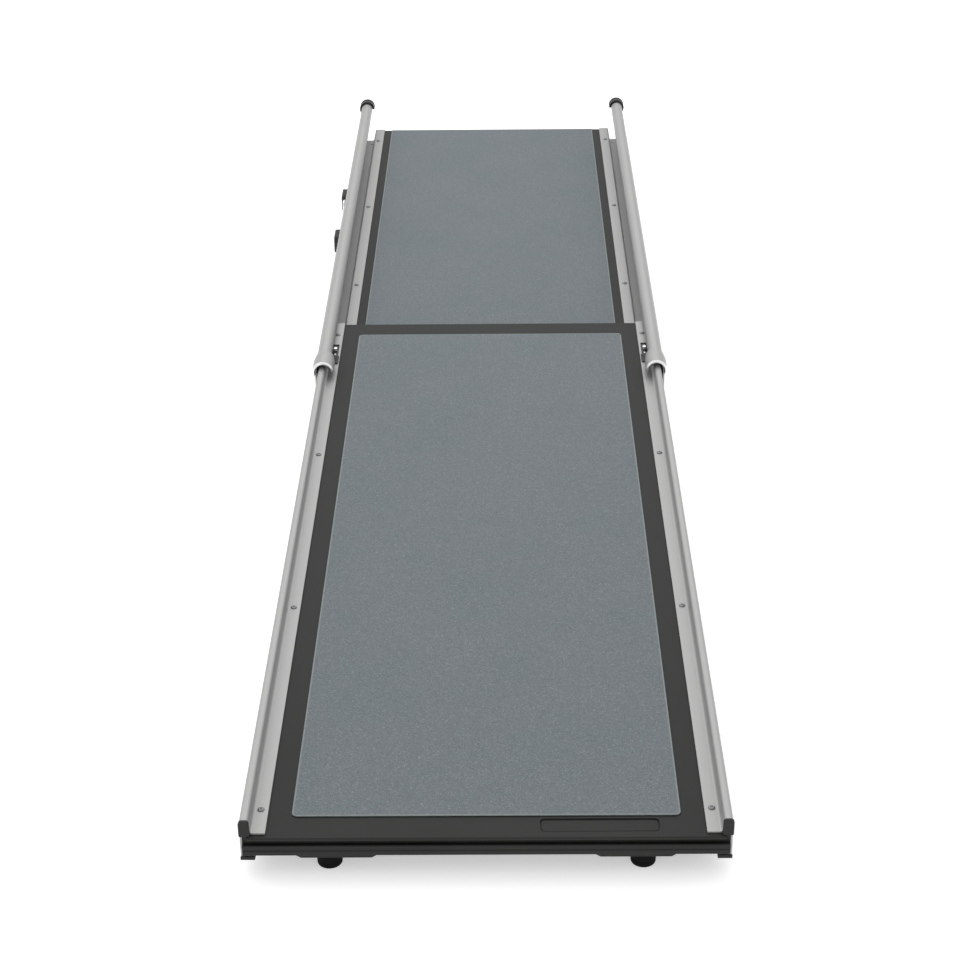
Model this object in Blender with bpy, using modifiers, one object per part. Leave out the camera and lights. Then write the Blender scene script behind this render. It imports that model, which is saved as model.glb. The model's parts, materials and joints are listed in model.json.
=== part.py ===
"""Telescoping pet ramp: two ribbed deck sections in aluminium side rails.

The lower section stands on the ground.  The upper section slides out from under it, on channels that
carry the lower rails' foot lips.  Metres, +Z up, +Y up the ramp, +X to the right of someone walking up.
The origin is on the ground, under the middle of the extended ramp.
"""
import math

import bmesh
import bpy
from mathutils import Matrix, Vector

# Clearances
SEAT_GAP = 0.0003            # between pieces that rest on or are fixed to each other
RUN_GAP = 0.0003             # between a glide shoe and the channel floor
HOLE_PLAY = 0.0003           # all round a shank in its hole
DECK_GAP = 0.0010            # under the lower deck, over the upper rivet heads

# Side rails, bent from one sheet thickness
RAIL_WALL = 0.0018
BEND = 0.0020                # radius of a small bend, at the middle of the sheet
HALF_WIDTH = 0.2386          # middle of the ramp to a lower rail's outer face
LOWER_LENGTH = 1.2000
LOWER_FLANGE = 0.0247        # outer face to the deck flange's inner edge
LOWER_LIP = 0.0130           # outer face to the foot lip's inner edge
LOWER_RAIL_DROP = 0.0297     # deck flange's top to the foot lip's underside
RIB_HEIGHT = 0.0150
RIB_TOP = 0.0088             # width at the top
RIB_FOOT = 0.0100            # width at the flange
RIB_BEND = 0.0025
RIB_FILLET = 0.0040          # at the rib's foot
UPPER_LENGTH = 1.1560
UPPER_FLANGE = 0.0173        # deck flange's inner edge to the step down
CHANNEL_WIDTH = 0.0241       # inside, from the step to the outer wall
SIDE_PLAY = 0.0038           # lower rail's outer face to the channel's wall
TUBE_RADIUS = 0.0100         # outside of the open tube that caps the upper rail
TUBE_RISE = 0.0085           # tube's axis over the lower deck flange
OVERLAP = 0.1800             # of the two rails when the ramp is fully out
CLOSED_GAP = 0.0010          # lower rail's rear end to the tube's far end when the ramp is closed
FLANGE_SETBACK = 0.0380      # tube's far end to the deck flange's
FLOOR_SETBACK = 0.0770       # tube's far end to the channel floor's
NOTCH_CORNER = 0.0050
WALL_CORNER = 0.0180         # radius at the outer wall's far lower corner

# Decks
SKIN = 0.0030
DECK_RIB = 0.0025
DECK_EDGE = 0.0030
LOWER_DECK_DEPTH = 0.0192
UPPER_DECK_DEPTH = 0.0180
NOSE_REACH = 0.0060          # front edge past the rails' ends
NOSE_THICKNESS = 0.0036
NOSE_SIDE = 0.0070           # its ends, inboard of the rails' outer faces
EDGE_ROUND = 0.0016
UPPER_DECK_SETBACK = 0.0200  # channel's near end to the upper deck's, to pass behind the lower feet
LOWER_BAYS = (4, 10)         # pockets under a deck, across and along
UPPER_BAYS = (4, 9)
BOSS_RADIUS = 0.0080
BOSS_STEP = 0.0005           # boss end, up from the rib ends

# Grip sheets
SHEET = 0.0012
LOWER_SHEET_SIDE = 0.0232    # from the deck flange's inner edge
LOWER_SHEET_FRONT = 0.0275   # from the lower rails' front ends
LOWER_SHEET_REAR = 0.0400    # from their rear ends
LOWER_SHEET_CORNER = 0.0055
UPPER_SHEET_SIDE = 0.0132    # from the deck flange's inner edge
UPPER_SHEET_MARGIN = 0.0020  # at the upper deck's ends
UPPER_SHEET_CORNER = 0.0020

# Blank label recess in the front margin
LABEL_INSET = 0.0217         # from the sheet's right edge
LABEL_WIDTH = 0.1165
LABEL_FRONT = 0.0038
LABEL_LENGTH = 0.0202
LABEL_CORNER = 0.0050
LABEL_DEPTH = 0.0010

# Toe cap under the nose, with a pad round each front foot
TOE_FRONT = 0.0050           # face, ahead of the rails' ends
TOE_WALL = 0.0044
TOE_TOP = 0.0118             # under the deck flange's top
TOE_PLATE = 0.0024
TOE_DEPTH = 0.0330           # of the plate between the rails
TOE_SIDE_DEPTH = 0.0120      # of the plate over the channels, which pass behind it
TOE_SIDE_GAP = 0.0050        # inboard of the upper deck flange
TOE_CREASE = 0.0008
PAD_DROP = 0.0028
PAD_HALF = 0.0345
PAD_SLOPE = 0.0045

# Feet and their screws
FOOT_INSET = 0.0845          # from the lower rail's outer face
FOOT_RADIUS = 0.0125
FOOT_HEIGHT = 0.0219
FOOT_ROUND = 0.0012
LOWER_FOOT_Y = 0.0180        # from the lower rails' front ends
UPPER_FOOT_Y = 0.0380        # from the upper deck's far end
FOOT_BORE = 0.0060
LOWER_BORE_DEPTH = 0.0140
UPPER_BORE_DEPTH = 0.0028
SCREW_HEAD = 0.0044
SCREW_HEAD_HEIGHT = 0.0020
SCREW_CHAMFER = 0.0007
SCREW_SHANK = 0.0020
SCREW_GRIP = 0.0080          # of the shank in its boss

# Rivets
RIVET_HEAD = 0.0035
RIVET_DOME = 0.0016
RIVET_SHANK = 0.0021
RIVET_LENGTH = 0.0070        # under the head
LOWER_RIVET_FIRST = 0.0371
LOWER_RIVET_PITCH = 0.3736
UPPER_RIVET_LAST = 0.1020    # from the tube's far end
UPPER_RIVET_PITCH = 0.3380
RIVETS = 4

# Rib end caps
CAP_THICKNESS = 0.0040
CAP_OVERHANG = 0.0005        # past the rib's outer face
CAP_TOP = 0.0015             # over the rib
CAP_PLUG = 0.0100
CAP_PLUG_FOOT = 0.0030       # plug's underside over the flange's top

# Glide shoes
SHOE_BASE = 0.0017
SHOE_INSET = 0.0006          # past the lip's inner edge
SHOE_CHAMFER = 0.0015
SHOE_TAB = 0.0033            # side tab's thickness
REAR_SHOE_LENGTH = 0.0300
REAR_SHOE_TOP = 0.0040       # under the deck flange's top
FRONT_SHOE_LENGTH = 0.0140
FRONT_SHOE_FACE = 0.0012
FRONT_SHOE_RISE = 0.0020     # of its front face over the lip's underside
FRONT_SHOE_TAB = 0.0006

# Travel stop screws in the channel walls
STOP_BOSS = 0.0040
STOP_REACH = 0.0028          # into the channel
STOP_SHANK = 0.0022
STOP_HEAD = 0.0045
STOP_HEAD_HEIGHT = 0.0020
STOP_DROP = 0.0110           # under the deck flange's top

# Locks in the lower flanges
LOCK_Y = 1.1020              # pin, from the lower rails' front ends
LOCK_OFFSET = 0.0005         # pin, outboard of the rivet line
WINDOW_NEAR = 0.0410         # window's ends, from the pin
WINDOW_FAR = 0.0230
WINDOW_HALF = 0.0050
WINDOW_CORNER = 0.0010
BEZEL_DEPTH = 0.0010         # floor, under the flange's top
BEZEL_WALL = 0.0010          # round the recess
BEZEL_SLEEVE = 0.0042
TAB_NEAR = 0.0430            # thumb tab's ends, from the pin
TAB_FAR = 0.0180
TAB_RISE = 0.0024
TAB_HALF = 0.0068
PIN_RADIUS = 0.0025
PIN_HEAD = 0.0036
PIN_DOME = 0.0028
PIN_STROKE = 0.0040
LOCK_SCREW_Y = 0.0090        # before the pin
LOCK_SCREW_HEAD = 0.0022
LOCK_SCREW_DOME = 0.0010
LOCK_SCREW_SHANK = 0.0010
LOCK_SCREW_LENGTH = 0.0050

# Guide collars on the tubes' near ends
COLLAR_RADIUS = 0.0149
COLLAR_INSET = 0.0016        # collar's axis, inboard of the tube's
COLLAR_RISE = 0.0010         # and over it
COLLAR_LIP = 0.0032          # wall at the mouth
COLLAR_LEAD = 0.0080         # mouth, ahead of the tube's end
COLLAR_MOUTH_DEPTH = 0.0160
COLLAR_BODY = 0.0280
COLLAR_TAPER = 0.0180
COLLAR_TAIL = 0.0131         # radius at the taper's end
COLLAR_ROUND = 0.0012

# Tube end caps
TUBE_CAP_RADIUS = 0.0137
TUBE_CAP_SLEEVE = 0.0170
TUBE_CAP_WALL = 0.0030
TUBE_CAP_ROUND = 0.0018

# End cap under the upper deck's far edge
END_CAP_WALL = 0.0028
END_CAP_DROP = 0.0020        # its top, under the deck's

# Carry handle on the left channel's wall
HANDLE_Y = 0.5230            # its middle, from the tube's far end
BRACKET_SPACING = 0.1860
BRACKET_LENGTH = 0.0400
BRACKET_HEIGHT = 0.0280
BRACKET_DEPTH = 0.0099
BRACKET_TOP = 0.0010         # under the deck flange's top
BRACKET_ROUND = 0.0060
BRACKET_BEVEL = 0.0016
PIVOT_OUT = 0.0054           # pivot axis, from the wall
PIVOT_DROP = 0.0080          # and under the deck flange's top
BAIL_RADIUS = 0.0025
BAIL_TRUNNION = 0.0140       # length inside each bracket
BAIL_SHOULDER = 0.0100       # bracket's face to the bail's arm
BAIL_BEND = 0.0080
BAIL_DROP = 0.0320           # pivot axis to the grip's
GRIP_THICKNESS = 0.0100
GRIP_WIDTH = 0.0130
GRIP_ROUND = 0.0048
GRIP_SHOULDER = 0.0040       # grip's end to the bend's start

# Levels, from the ground up
DECK_Z = (FOOT_HEIGHT + SEAT_GAP + PAD_DROP + TOE_PLATE + SEAT_GAP + LOWER_DECK_DEPTH + SEAT_GAP
          + RAIL_WALL)
LOWER_DECK_TOP = DECK_Z - RAIL_WALL - SEAT_GAP
LOWER_DECK_BASE = LOWER_DECK_TOP - LOWER_DECK_DEPTH
LIP_BASE = DECK_Z - LOWER_RAIL_DROP
CHANNEL_FLOOR = LIP_BASE - SEAT_GAP - SHOE_BASE - RUN_GAP
UPPER_FLANGE_Z = LOWER_DECK_BASE - DECK_GAP - RIVET_DOME
UPPER_DECK_TOP = UPPER_FLANGE_Z - RAIL_WALL - SEAT_GAP
UPPER_DECK_BASE = UPPER_DECK_TOP - UPPER_DECK_DEPTH
TUBE_Z = DECK_Z + TUBE_RISE

# Stations along the ramp
TUBE_TAIL = TUBE_CAP_WALL + SEAT_GAP
TOTAL_LENGTH = NOSE_REACH + LOWER_LENGTH - OVERLAP + UPPER_LENGTH + TUBE_TAIL
LOWER_FRONT = NOSE_REACH - TOTAL_LENGTH / 2
LOWER_REAR = LOWER_FRONT + LOWER_LENGTH
UPPER_NEAR = LOWER_REAR - OVERLAP
UPPER_FAR = UPPER_NEAR + UPPER_LENGTH
FLANGE_FAR = UPPER_FAR - FLANGE_SETBACK
FLOOR_FAR = UPPER_FAR - FLOOR_SETBACK
UPPER_DECK_NEAR = UPPER_NEAR + UPPER_DECK_SETBACK
PIN_Y = LOWER_FRONT + LOCK_Y
TRAVEL = UPPER_LENGTH - OVERLAP - CLOSED_GAP
CLOSED_LOCK_Y = PIN_Y + TRAVEL

# Distances from the middle, across the ramp
CHANNEL_INNER = HALF_WIDTH + SIDE_PLAY
WALL_OUTER = CHANNEL_INNER + RAIL_WALL
TUBE_X = WALL_OUTER - TUBE_RADIUS
STEP_X = CHANNEL_INNER - CHANNEL_WIDTH
LOWER_DECK_HALF = HALF_WIDTH - RAIL_WALL - SEAT_GAP
UPPER_DECK_HALF = STEP_X - RAIL_WALL / 2 - BEND - SEAT_GAP
LOWER_RIVET_X = HALF_WIDTH - (LOWER_FLANGE + RIB_FOOT) / 2
UPPER_RIVET_X = STEP_X - UPPER_FLANGE / 2
PIN_X = LOWER_RIVET_X + LOCK_OFFSET
LOWER_SHEET_HALF = HALF_WIDTH - LOWER_FLANGE - LOWER_SHEET_SIDE
UPPER_SHEET_HALF = STEP_X - UPPER_FLANGE - UPPER_SHEET_SIDE
LABEL_RIGHT = LOWER_SHEET_HALF - LABEL_INSET
TOE_INNER_HALF = STEP_X - UPPER_FLANGE - TOE_SIDE_GAP
FOOT_X = HALF_WIDTH - FOOT_INSET

SIDES = {"left": -1, "right": 1}

MATERIALS = {
    "aluminium": ((0.50, 0.51, 0.50), 0.42, 1.0),
    "deck_plastic": ((0.060, 0.063, 0.060), 0.55, 0.0),
    "grip": ((0.19, 0.23, 0.25), 0.95, 0.0),
    "cap_plastic": ((0.035, 0.036, 0.033), 0.45, 0.0),
    "rubber": ((0.012, 0.012, 0.012), 0.70, 0.0),
    "steel": ((0.62, 0.62, 0.60), 0.25, 1.0),
    "grip_plastic": ((0.020, 0.020, 0.020), 0.60, 0.0),
}


# Scene set-up

def clear_scene():
    """Remove every object that the file starts with."""
    for obj in list(bpy.data.objects):
        bpy.data.objects.remove(obj, do_unlink=True)


def new_collection(name):
    """Make a collection in the scene."""
    collection = bpy.data.collections.new(name)
    bpy.context.scene.collection.children.link(collection)
    return collection


def new_material(name):
    """Make a Principled material from its row in MATERIALS."""
    colour, roughness, metallic = MATERIALS[name]
    material = bpy.data.materials.new(name)
    material.use_nodes = True
    shader = material.node_tree.nodes["Principled BSDF"]
    shader.inputs["Base Color"].default_value = (*colour, 1.0)
    shader.inputs["Roughness"].default_value = roughness
    shader.inputs["Metallic"].default_value = metallic
    material.diffuse_color = (*colour, 1.0)
    return material


def new_empty(name, location):
    """Make an empty on a joint's axis, for the pieces that move with it."""
    empty = bpy.data.objects.new(name, None)
    empty.empty_display_size = HALF_WIDTH / 4
    empty.location = location
    PARTS.objects.link(empty)
    return empty


def attach(obj, parent):
    """Parent an object and keep its place in the world."""
    if parent is None:
        return
    obj.parent = parent
    obj.matrix_parent_inverse = Matrix.Translation(parent.location).inverted()


def finish_piece(obj, material, parent=None, smooth=True):
    """Give a piece its material, its parent and its shading."""
    obj.data.materials.clear()
    obj.data.materials.append(MATERIAL[material])
    if smooth:
        obj.data.shade_smooth()
        obj.data.set_sharp_from_angle(angle=math.radians(35))
    attach(obj, parent)
    return obj


def finish_cutter(obj):
    """Show a cutter as wire and keep it out of renders."""
    obj.hide_render = True
    obj.display_type = "WIRE"
    return obj


# Outlines

def arc(centre, radius, start, end, steps):
    """Points along an arc, from start to end in degrees."""
    points = []
    for i in range(steps + 1):
        angle = math.radians(start + (end - start) * i / steps)
        points.append((centre[0] + radius * math.cos(angle), centre[1] + radius * math.sin(angle)))
    return points


def round_corner(before, corner, after, radius, steps):
    """Points of the arc that rounds one corner."""
    to_before = (before - corner).normalized()
    to_after = (after - corner).normalized()
    half = to_before.angle(to_after) / 2
    if radius <= 0 or math.pi / 2 - half < 0.01:
        return [tuple(corner)]
    reach = min(radius / math.tan(half), 0.49 * (before - corner).length, 0.49 * (after - corner).length)
    radius = reach * math.tan(half)
    centre = corner + (to_before + to_after).normalized() * (radius / math.sin(half))
    first = corner + to_before * reach - centre
    last = corner + to_after * reach - centre
    turn = math.atan2(first.x * last.y - first.y * last.x, first.dot(last))
    start = math.atan2(first.y, first.x)
    return arc(centre, radius, math.degrees(start), math.degrees(start + turn), steps)


def rounded(points, radii, steps=3, closed=True):
    """An outline, or an open path, with its corners rounded."""
    corners = [Vector(p) for p in points]
    count = len(corners)
    result = []
    for i, corner in enumerate(corners):
        if not closed and i in (0, count - 1):
            result.append(tuple(corner))
        else:
            result += round_corner(corners[i - 1], corner, corners[(i + 1) % count], radii[i], steps)
    return result


def rounded_box(x0, x1, y0, y1, radius, steps=4):
    """A rectangle with rounded corners."""
    return rounded([(x0, y0), (x1, y0), (x1, y1), (x0, y1)], [radius] * 4, steps)


def strip(path, thickness):
    """The outline of a bent sheet whose middle follows an open path."""
    points = [Vector(p) for p in path]
    left, right = [], []
    for i, point in enumerate(points):
        into = (point - points[i - 1]).normalized() if i else None
        out = (points[i + 1] - point).normalized() if i + 1 < len(points) else None
        into = into or out
        out = out or into
        along = (into + out).normalized()
        normal = Vector((-along.y, along.x))
        offset = normal * (thickness / 2 / along.dot(into))
        left.append(tuple(point + offset))
        right.append(tuple(point - offset))
    return left + right[::-1]


def on_side(points, side):
    """An outline drawn on the right, taken to the given side."""
    return [(side * x, y) for x, y in points]


def dome(radius, rise, steps):
    """Profile of a domed head, from its top out to its rim."""
    angles = [math.pi / 2 * i / steps for i in range(steps + 1)]
    return [(radius * math.sin(angle), rise * math.cos(angle)) for angle in angles]


# Solids

FACING = {
    "X": Matrix(((0, 0, 1, 0), (1, 0, 0, 0), (0, 1, 0, 0), (0, 0, 0, 1))),
    "Y": Matrix.Rotation(math.pi / 2, 4, "X"),
    "Z": Matrix.Identity(4),
}
DIRECTION = {"X": Vector((1, 0, 0)), "Y": Vector((0, 1, 0)), "Z": Vector((0, 0, 1))}


def prism(name, outline, axis, start, end, collection=None):
    """Extrude a flat outline along an axis: a 2D curve, made a mesh."""
    curve = bpy.data.curves.new(name, "CURVE")
    curve.dimensions = "2D"
    curve.fill_mode = "BOTH"
    curve.extrude = abs(end - start) / 2
    spline = curve.splines.new("POLY")
    spline.points.add(len(outline) - 1)
    for point, (u, v) in zip(spline.points, outline):
        point.co = (u, v, 0, 1)
    spline.use_cyclic_u = True
    guide = bpy.data.objects.new(name + "_curve", curve)
    guide.matrix_world = Matrix.Translation(DIRECTION[axis] * (start + end) / 2) @ FACING[axis]
    bpy.context.scene.collection.objects.link(guide)
    obj = mesh_from_curve(name, guide, collection)
    return obj


def mesh_from_curve(name, guide, collection=None):
    """Make a closed mesh object of a curve object, and remove the curve."""
    depsgraph = bpy.context.evaluated_depsgraph_get()
    mesh = bpy.data.meshes.new_from_object(guide.evaluated_get(depsgraph))
    mesh.name = name
    form = bmesh.new()
    form.from_mesh(mesh)
    bmesh.ops.remove_doubles(form, verts=form.verts, dist=0.000001)
    bmesh.ops.recalc_face_normals(form, faces=form.faces)
    form.to_mesh(mesh)
    form.free()
    obj = bpy.data.objects.new(name, mesh)
    obj.matrix_world = guide.matrix_world.copy()
    (collection or PARTS).objects.link(obj)
    bpy.data.objects.remove(guide, do_unlink=True)
    return obj


def turned(name, profile, steps, world, collection=None):
    """Revolve a profile of (radius, height) points, from the top down, about its own Z axis."""
    mesh = bpy.data.meshes.new(name)
    points = [(radius, 0, height) for radius, height in profile]
    edges = [(i, i + 1) for i in range(len(points) - 1)]
    mesh.from_pydata(points, edges, [])
    obj = bpy.data.objects.new(name, mesh)
    obj.matrix_world = world
    (collection or PARTS).objects.link(obj)
    screw = obj.modifiers.new("turn", "SCREW")
    screw.axis = "Z"
    screw.steps = steps
    screw.render_steps = steps
    screw.use_merge_vertices = True
    screw.merge_threshold = 0.00001
    screw.use_smooth_shade = True
    return obj


def drill(name, centres, radius, bottom, top, sides=12):
    """A cutter of upright round holes."""
    form = bmesh.new()
    for x, y in centres:
        place = Matrix.Translation((x, y, (bottom + top) / 2))
        bmesh.ops.create_cone(form, cap_ends=True, segments=sides, radius1=radius, radius2=radius,
                              depth=top - bottom, matrix=place)
    return mesh_object(name, form, CUTTERS)


def boxes(name, corners, collection):
    """An object of separate boxes, each given by its low and high corners."""
    form = bmesh.new()
    for low, high in corners:
        low, high = Vector(low), Vector(high)
        place = Matrix.Translation((low + high) / 2) @ Matrix.Diagonal((*(high - low), 1))
        bmesh.ops.create_cube(form, size=1, matrix=place)
    return mesh_object(name, form, collection)


def mesh_object(name, form, collection):
    """An object from a bmesh, which is freed."""
    mesh = bpy.data.meshes.new(name)
    form.to_mesh(mesh)
    form.free()
    obj = bpy.data.objects.new(name, mesh)
    collection.objects.link(obj)
    return obj


def boolean(obj, tool, operation="DIFFERENCE"):
    """Cut an object with a tool object, or join the tool to it."""
    finish_cutter(tool)
    modifier = obj.modifiers.new(tool.name, "BOOLEAN")
    modifier.operation = operation
    modifier.solver = "EXACT"
    modifier.object = tool
    return modifier


def bevel(obj, width, segments=2, angle=40):
    """Round the sharp edges of an object."""
    modifier = obj.modifiers.new("edges", "BEVEL")
    modifier.width = width
    modifier.segments = segments
    modifier.limit_method = "ANGLE"
    modifier.angle_limit = math.radians(angle)
    return modifier


# Lower section

def lower_rail_path():
    """Middle of the lower rail's sheet, as (distance across, height)."""
    half = RAIL_WALL / 2
    outer = HALF_WIDTH - half
    points = [
        (HALF_WIDTH - LOWER_FLANGE, DECK_Z - half),
        (HALF_WIDTH - RIB_FOOT + half, DECK_Z - half),
        (HALF_WIDTH - RIB_TOP + half, DECK_Z + RIB_HEIGHT - half),
        (outer, DECK_Z + RIB_HEIGHT - half),
        (outer, LIP_BASE + half),
        (HALF_WIDTH - LOWER_LIP, LIP_BASE + half),
    ]
    radii = [0, RIB_FILLET, RIB_BEND, RIB_BEND, BEND, 0]
    return rounded(points, radii, steps=4, closed=False)


def lower_rivet_stations():
    """Rivet places along a lower rail."""
    return [LOWER_FRONT + LOWER_RIVET_FIRST + LOWER_RIVET_PITCH * i for i in range(RIVETS)]


def lower_rail(word, side):
    """Lower side rail: deck flange, hollow rib, outer wall and foot lip in one bent section."""
    outline = on_side(strip(lower_rail_path(), RAIL_WALL), side)
    rail = prism("lower_rail_" + word, outline, "Y", LOWER_FRONT, LOWER_REAR)
    holes = [(side * LOWER_RIVET_X, y) for y in lower_rivet_stations()]
    boolean(rail, drill("lower_rail_holes_" + word, holes, RIVET_SHANK + HOLE_PLAY,
                        LOWER_DECK_TOP, DECK_Z + RIB_HEIGHT / 2))
    window = rounded_box(PIN_X - WINDOW_HALF, PIN_X + WINDOW_HALF, PIN_Y - WINDOW_NEAR,
                         PIN_Y + WINDOW_FAR, WINDOW_CORNER, 2)
    boolean(rail, prism("lock_window_" + word, on_side(window, side), "Z", LOWER_DECK_TOP,
                        DECK_Z + RIB_HEIGHT / 2, CUTTERS))
    return finish_piece(rail, "aluminium")


def pocket_grid(name, half_width, near, far, bottom, top, bays):
    """Cutter for the pockets between a deck's ribs."""
    across, along = bays
    width = (2 * half_width - DECK_RIB * (across - 1)) / across
    length = (far - near - DECK_RIB * (along - 1)) / along
    corners = []
    for i in range(across):
        for j in range(along):
            x = -half_width + i * (width + DECK_RIB)
            y = near + j * (length + DECK_RIB)
            corners.append(((x, y, bottom), (x + width, y + length, top)))
    return boxes(name, corners, CUTTERS)


def ribbed_deck(name, outline, half_width, near, far, top, depth, bays, foot_y):
    """A moulded deck: a skin over a grid of ribs, with a boss for the screw over each foot."""
    deck = prism(name, outline, "X", -half_width, half_width)
    base = top - depth
    boolean(deck, pocket_grid(name + "_pockets", half_width - DECK_EDGE, near + DECK_EDGE,
                              far - DECK_EDGE, base - depth / 2, top - SKIN, bays))
    centres = [(side * FOOT_X, foot_y) for side in SIDES.values()]
    boolean(deck, drill(name + "_bosses", centres, BOSS_RADIUS, base + BOSS_STEP, top - SKIN / 2, 16),
            "UNION")
    boolean(deck, drill(name + "_boss_holes", centres, SCREW_SHANK + HOLE_PLAY, base - depth / 2,
                        base + BOSS_STEP + SCREW_GRIP + HOLE_PLAY))
    return deck


def lower_deck():
    """Lower deck moulding, with its rounded nose, lock holes and blank label recess."""
    nose = LOWER_FRONT - NOSE_REACH
    corners = [
        (LOWER_REAR, LOWER_DECK_TOP),
        (nose, LOWER_DECK_TOP),
        (nose, LOWER_DECK_TOP - NOSE_THICKNESS),
        (LOWER_FRONT, LOWER_DECK_TOP - NOSE_THICKNESS),
        (LOWER_FRONT, LOWER_DECK_BASE),
        (LOWER_REAR, LOWER_DECK_BASE),
    ]
    radii = [EDGE_ROUND, EDGE_ROUND, EDGE_ROUND, 0, 0, EDGE_ROUND]
    deck = ribbed_deck("lower_deck", rounded(corners, radii, 4), LOWER_DECK_HALF, LOWER_FRONT, LOWER_REAR,
                       LOWER_DECK_TOP, LOWER_DECK_DEPTH, LOWER_BAYS, LOWER_FRONT + LOWER_FOOT_Y)
    over = LOWER_DECK_TOP + RAIL_WALL
    under = LOWER_DECK_TOP - 2 * SKIN
    shanks = [(side * LOWER_RIVET_X, y) for side in SIDES.values() for y in lower_rivet_stations()]
    boolean(deck, drill("lower_deck_rivet_holes", shanks, RIVET_SHANK + HOLE_PLAY, under, over))
    sleeves = [(side * PIN_X, PIN_Y) for side in SIDES.values()]
    boolean(deck, drill("lower_deck_lock_holes", sleeves, BEZEL_SLEEVE + SEAT_GAP, under, over, 16))
    screws = [(side * PIN_X, PIN_Y - LOCK_SCREW_Y) for side in SIDES.values()]
    boolean(deck, drill("lower_deck_lock_screw_holes", screws, LOCK_SCREW_SHANK + HOLE_PLAY, under, over))
    for word, side in SIDES.items():
        inner = side * (HALF_WIDTH - NOSE_SIDE)
        outer = side * HALF_WIDTH
        low = (min(inner, outer), nose - NOSE_REACH, LOWER_DECK_BASE)
        high = (max(inner, outer), LOWER_FRONT, DECK_Z)
        boolean(deck, boxes("nose_corner_" + word, [(low, high)], CUTTERS))
    label = rounded_box(LABEL_RIGHT - LABEL_WIDTH, LABEL_RIGHT, LOWER_FRONT + LABEL_FRONT,
                        LOWER_FRONT + LABEL_FRONT + LABEL_LENGTH, LABEL_CORNER)
    boolean(deck, prism("label_recess", label, "Z", LOWER_DECK_TOP - LABEL_DEPTH, over, CUTTERS))
    return finish_piece(deck, "deck_plastic")


def lower_grip():
    """Gritted sheet on the lower deck."""
    outline = rounded_box(-LOWER_SHEET_HALF, LOWER_SHEET_HALF, LOWER_FRONT + LOWER_SHEET_FRONT,
                          LOWER_REAR - LOWER_SHEET_REAR, LOWER_SHEET_CORNER, 6)
    base = LOWER_DECK_TOP + SEAT_GAP
    return finish_piece(prism("lower_grip_sheet", outline, "Z", base, base + SHEET), "grip")


def toe_cap():
    """Moulding that closes the deck's front end, under the nose, and carries the front feet."""
    top = DECK_Z - TOE_TOP
    base = LOWER_DECK_BASE - SEAT_GAP - TOE_PLATE
    face = LOWER_FRONT - TOE_FRONT
    crease = (top + base) / 2
    corners = [
        (face, base),
        (face, crease - TOE_CREASE),
        (face + TOE_CREASE, crease),
        (face, crease + TOE_CREASE),
        (face, top),
        (face + TOE_WALL, top),
        (face + TOE_WALL, base + TOE_PLATE),
        (LOWER_FRONT + TOE_DEPTH, base + TOE_PLATE),
        (LOWER_FRONT + TOE_DEPTH, base),
    ]
    radii = [TOE_CREASE, 0, 0, 0, TOE_CREASE, TOE_CREASE, 0, 0, 0]
    cap = prism("toe_cap", rounded(corners, radii, 3), "X", -LOWER_DECK_HALF, LOWER_DECK_HALF)
    foot_y = LOWER_FRONT + LOWER_FOOT_Y
    for word, side in SIDES.items():
        inner, outer = side * TOE_INNER_HALF, side * HALF_WIDTH
        low = (min(inner, outer), LOWER_FRONT + TOE_SIDE_DEPTH, base - TOE_PLATE)
        high = (max(inner, outer), LOWER_FRONT + TOE_DEPTH + TOE_WALL, base + 2 * TOE_PLATE)
        boolean(cap, boxes("toe_side_" + word, [(low, high)], CUTTERS))
        middle = side * (FOOT_X - PAD_HALF / 4)
        pad = [
            (middle - PAD_HALF - PAD_SLOPE, base + TOE_PLATE / 2),
            (middle - PAD_HALF - PAD_SLOPE, base),
            (middle - PAD_HALF, base - PAD_DROP),
            (middle + PAD_HALF, base - PAD_DROP),
            (middle + PAD_HALF + PAD_SLOPE, base),
            (middle + PAD_HALF + PAD_SLOPE, base + TOE_PLATE / 2),
        ]
        boolean(cap, prism("foot_pad_" + word, pad, "Y", face + TOE_CREASE,
                           LOWER_FRONT + TOE_DEPTH - TOE_CREASE, CUTTERS), "UNION")
    centres = [(side * FOOT_X, foot_y) for side in SIDES.values()]
    boolean(cap, drill("toe_cap_holes", centres, SCREW_SHANK + HOLE_PLAY, base - 2 * PAD_DROP,
                       base + 2 * TOE_PLATE))
    return finish_piece(cap, "cap_plastic")


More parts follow.
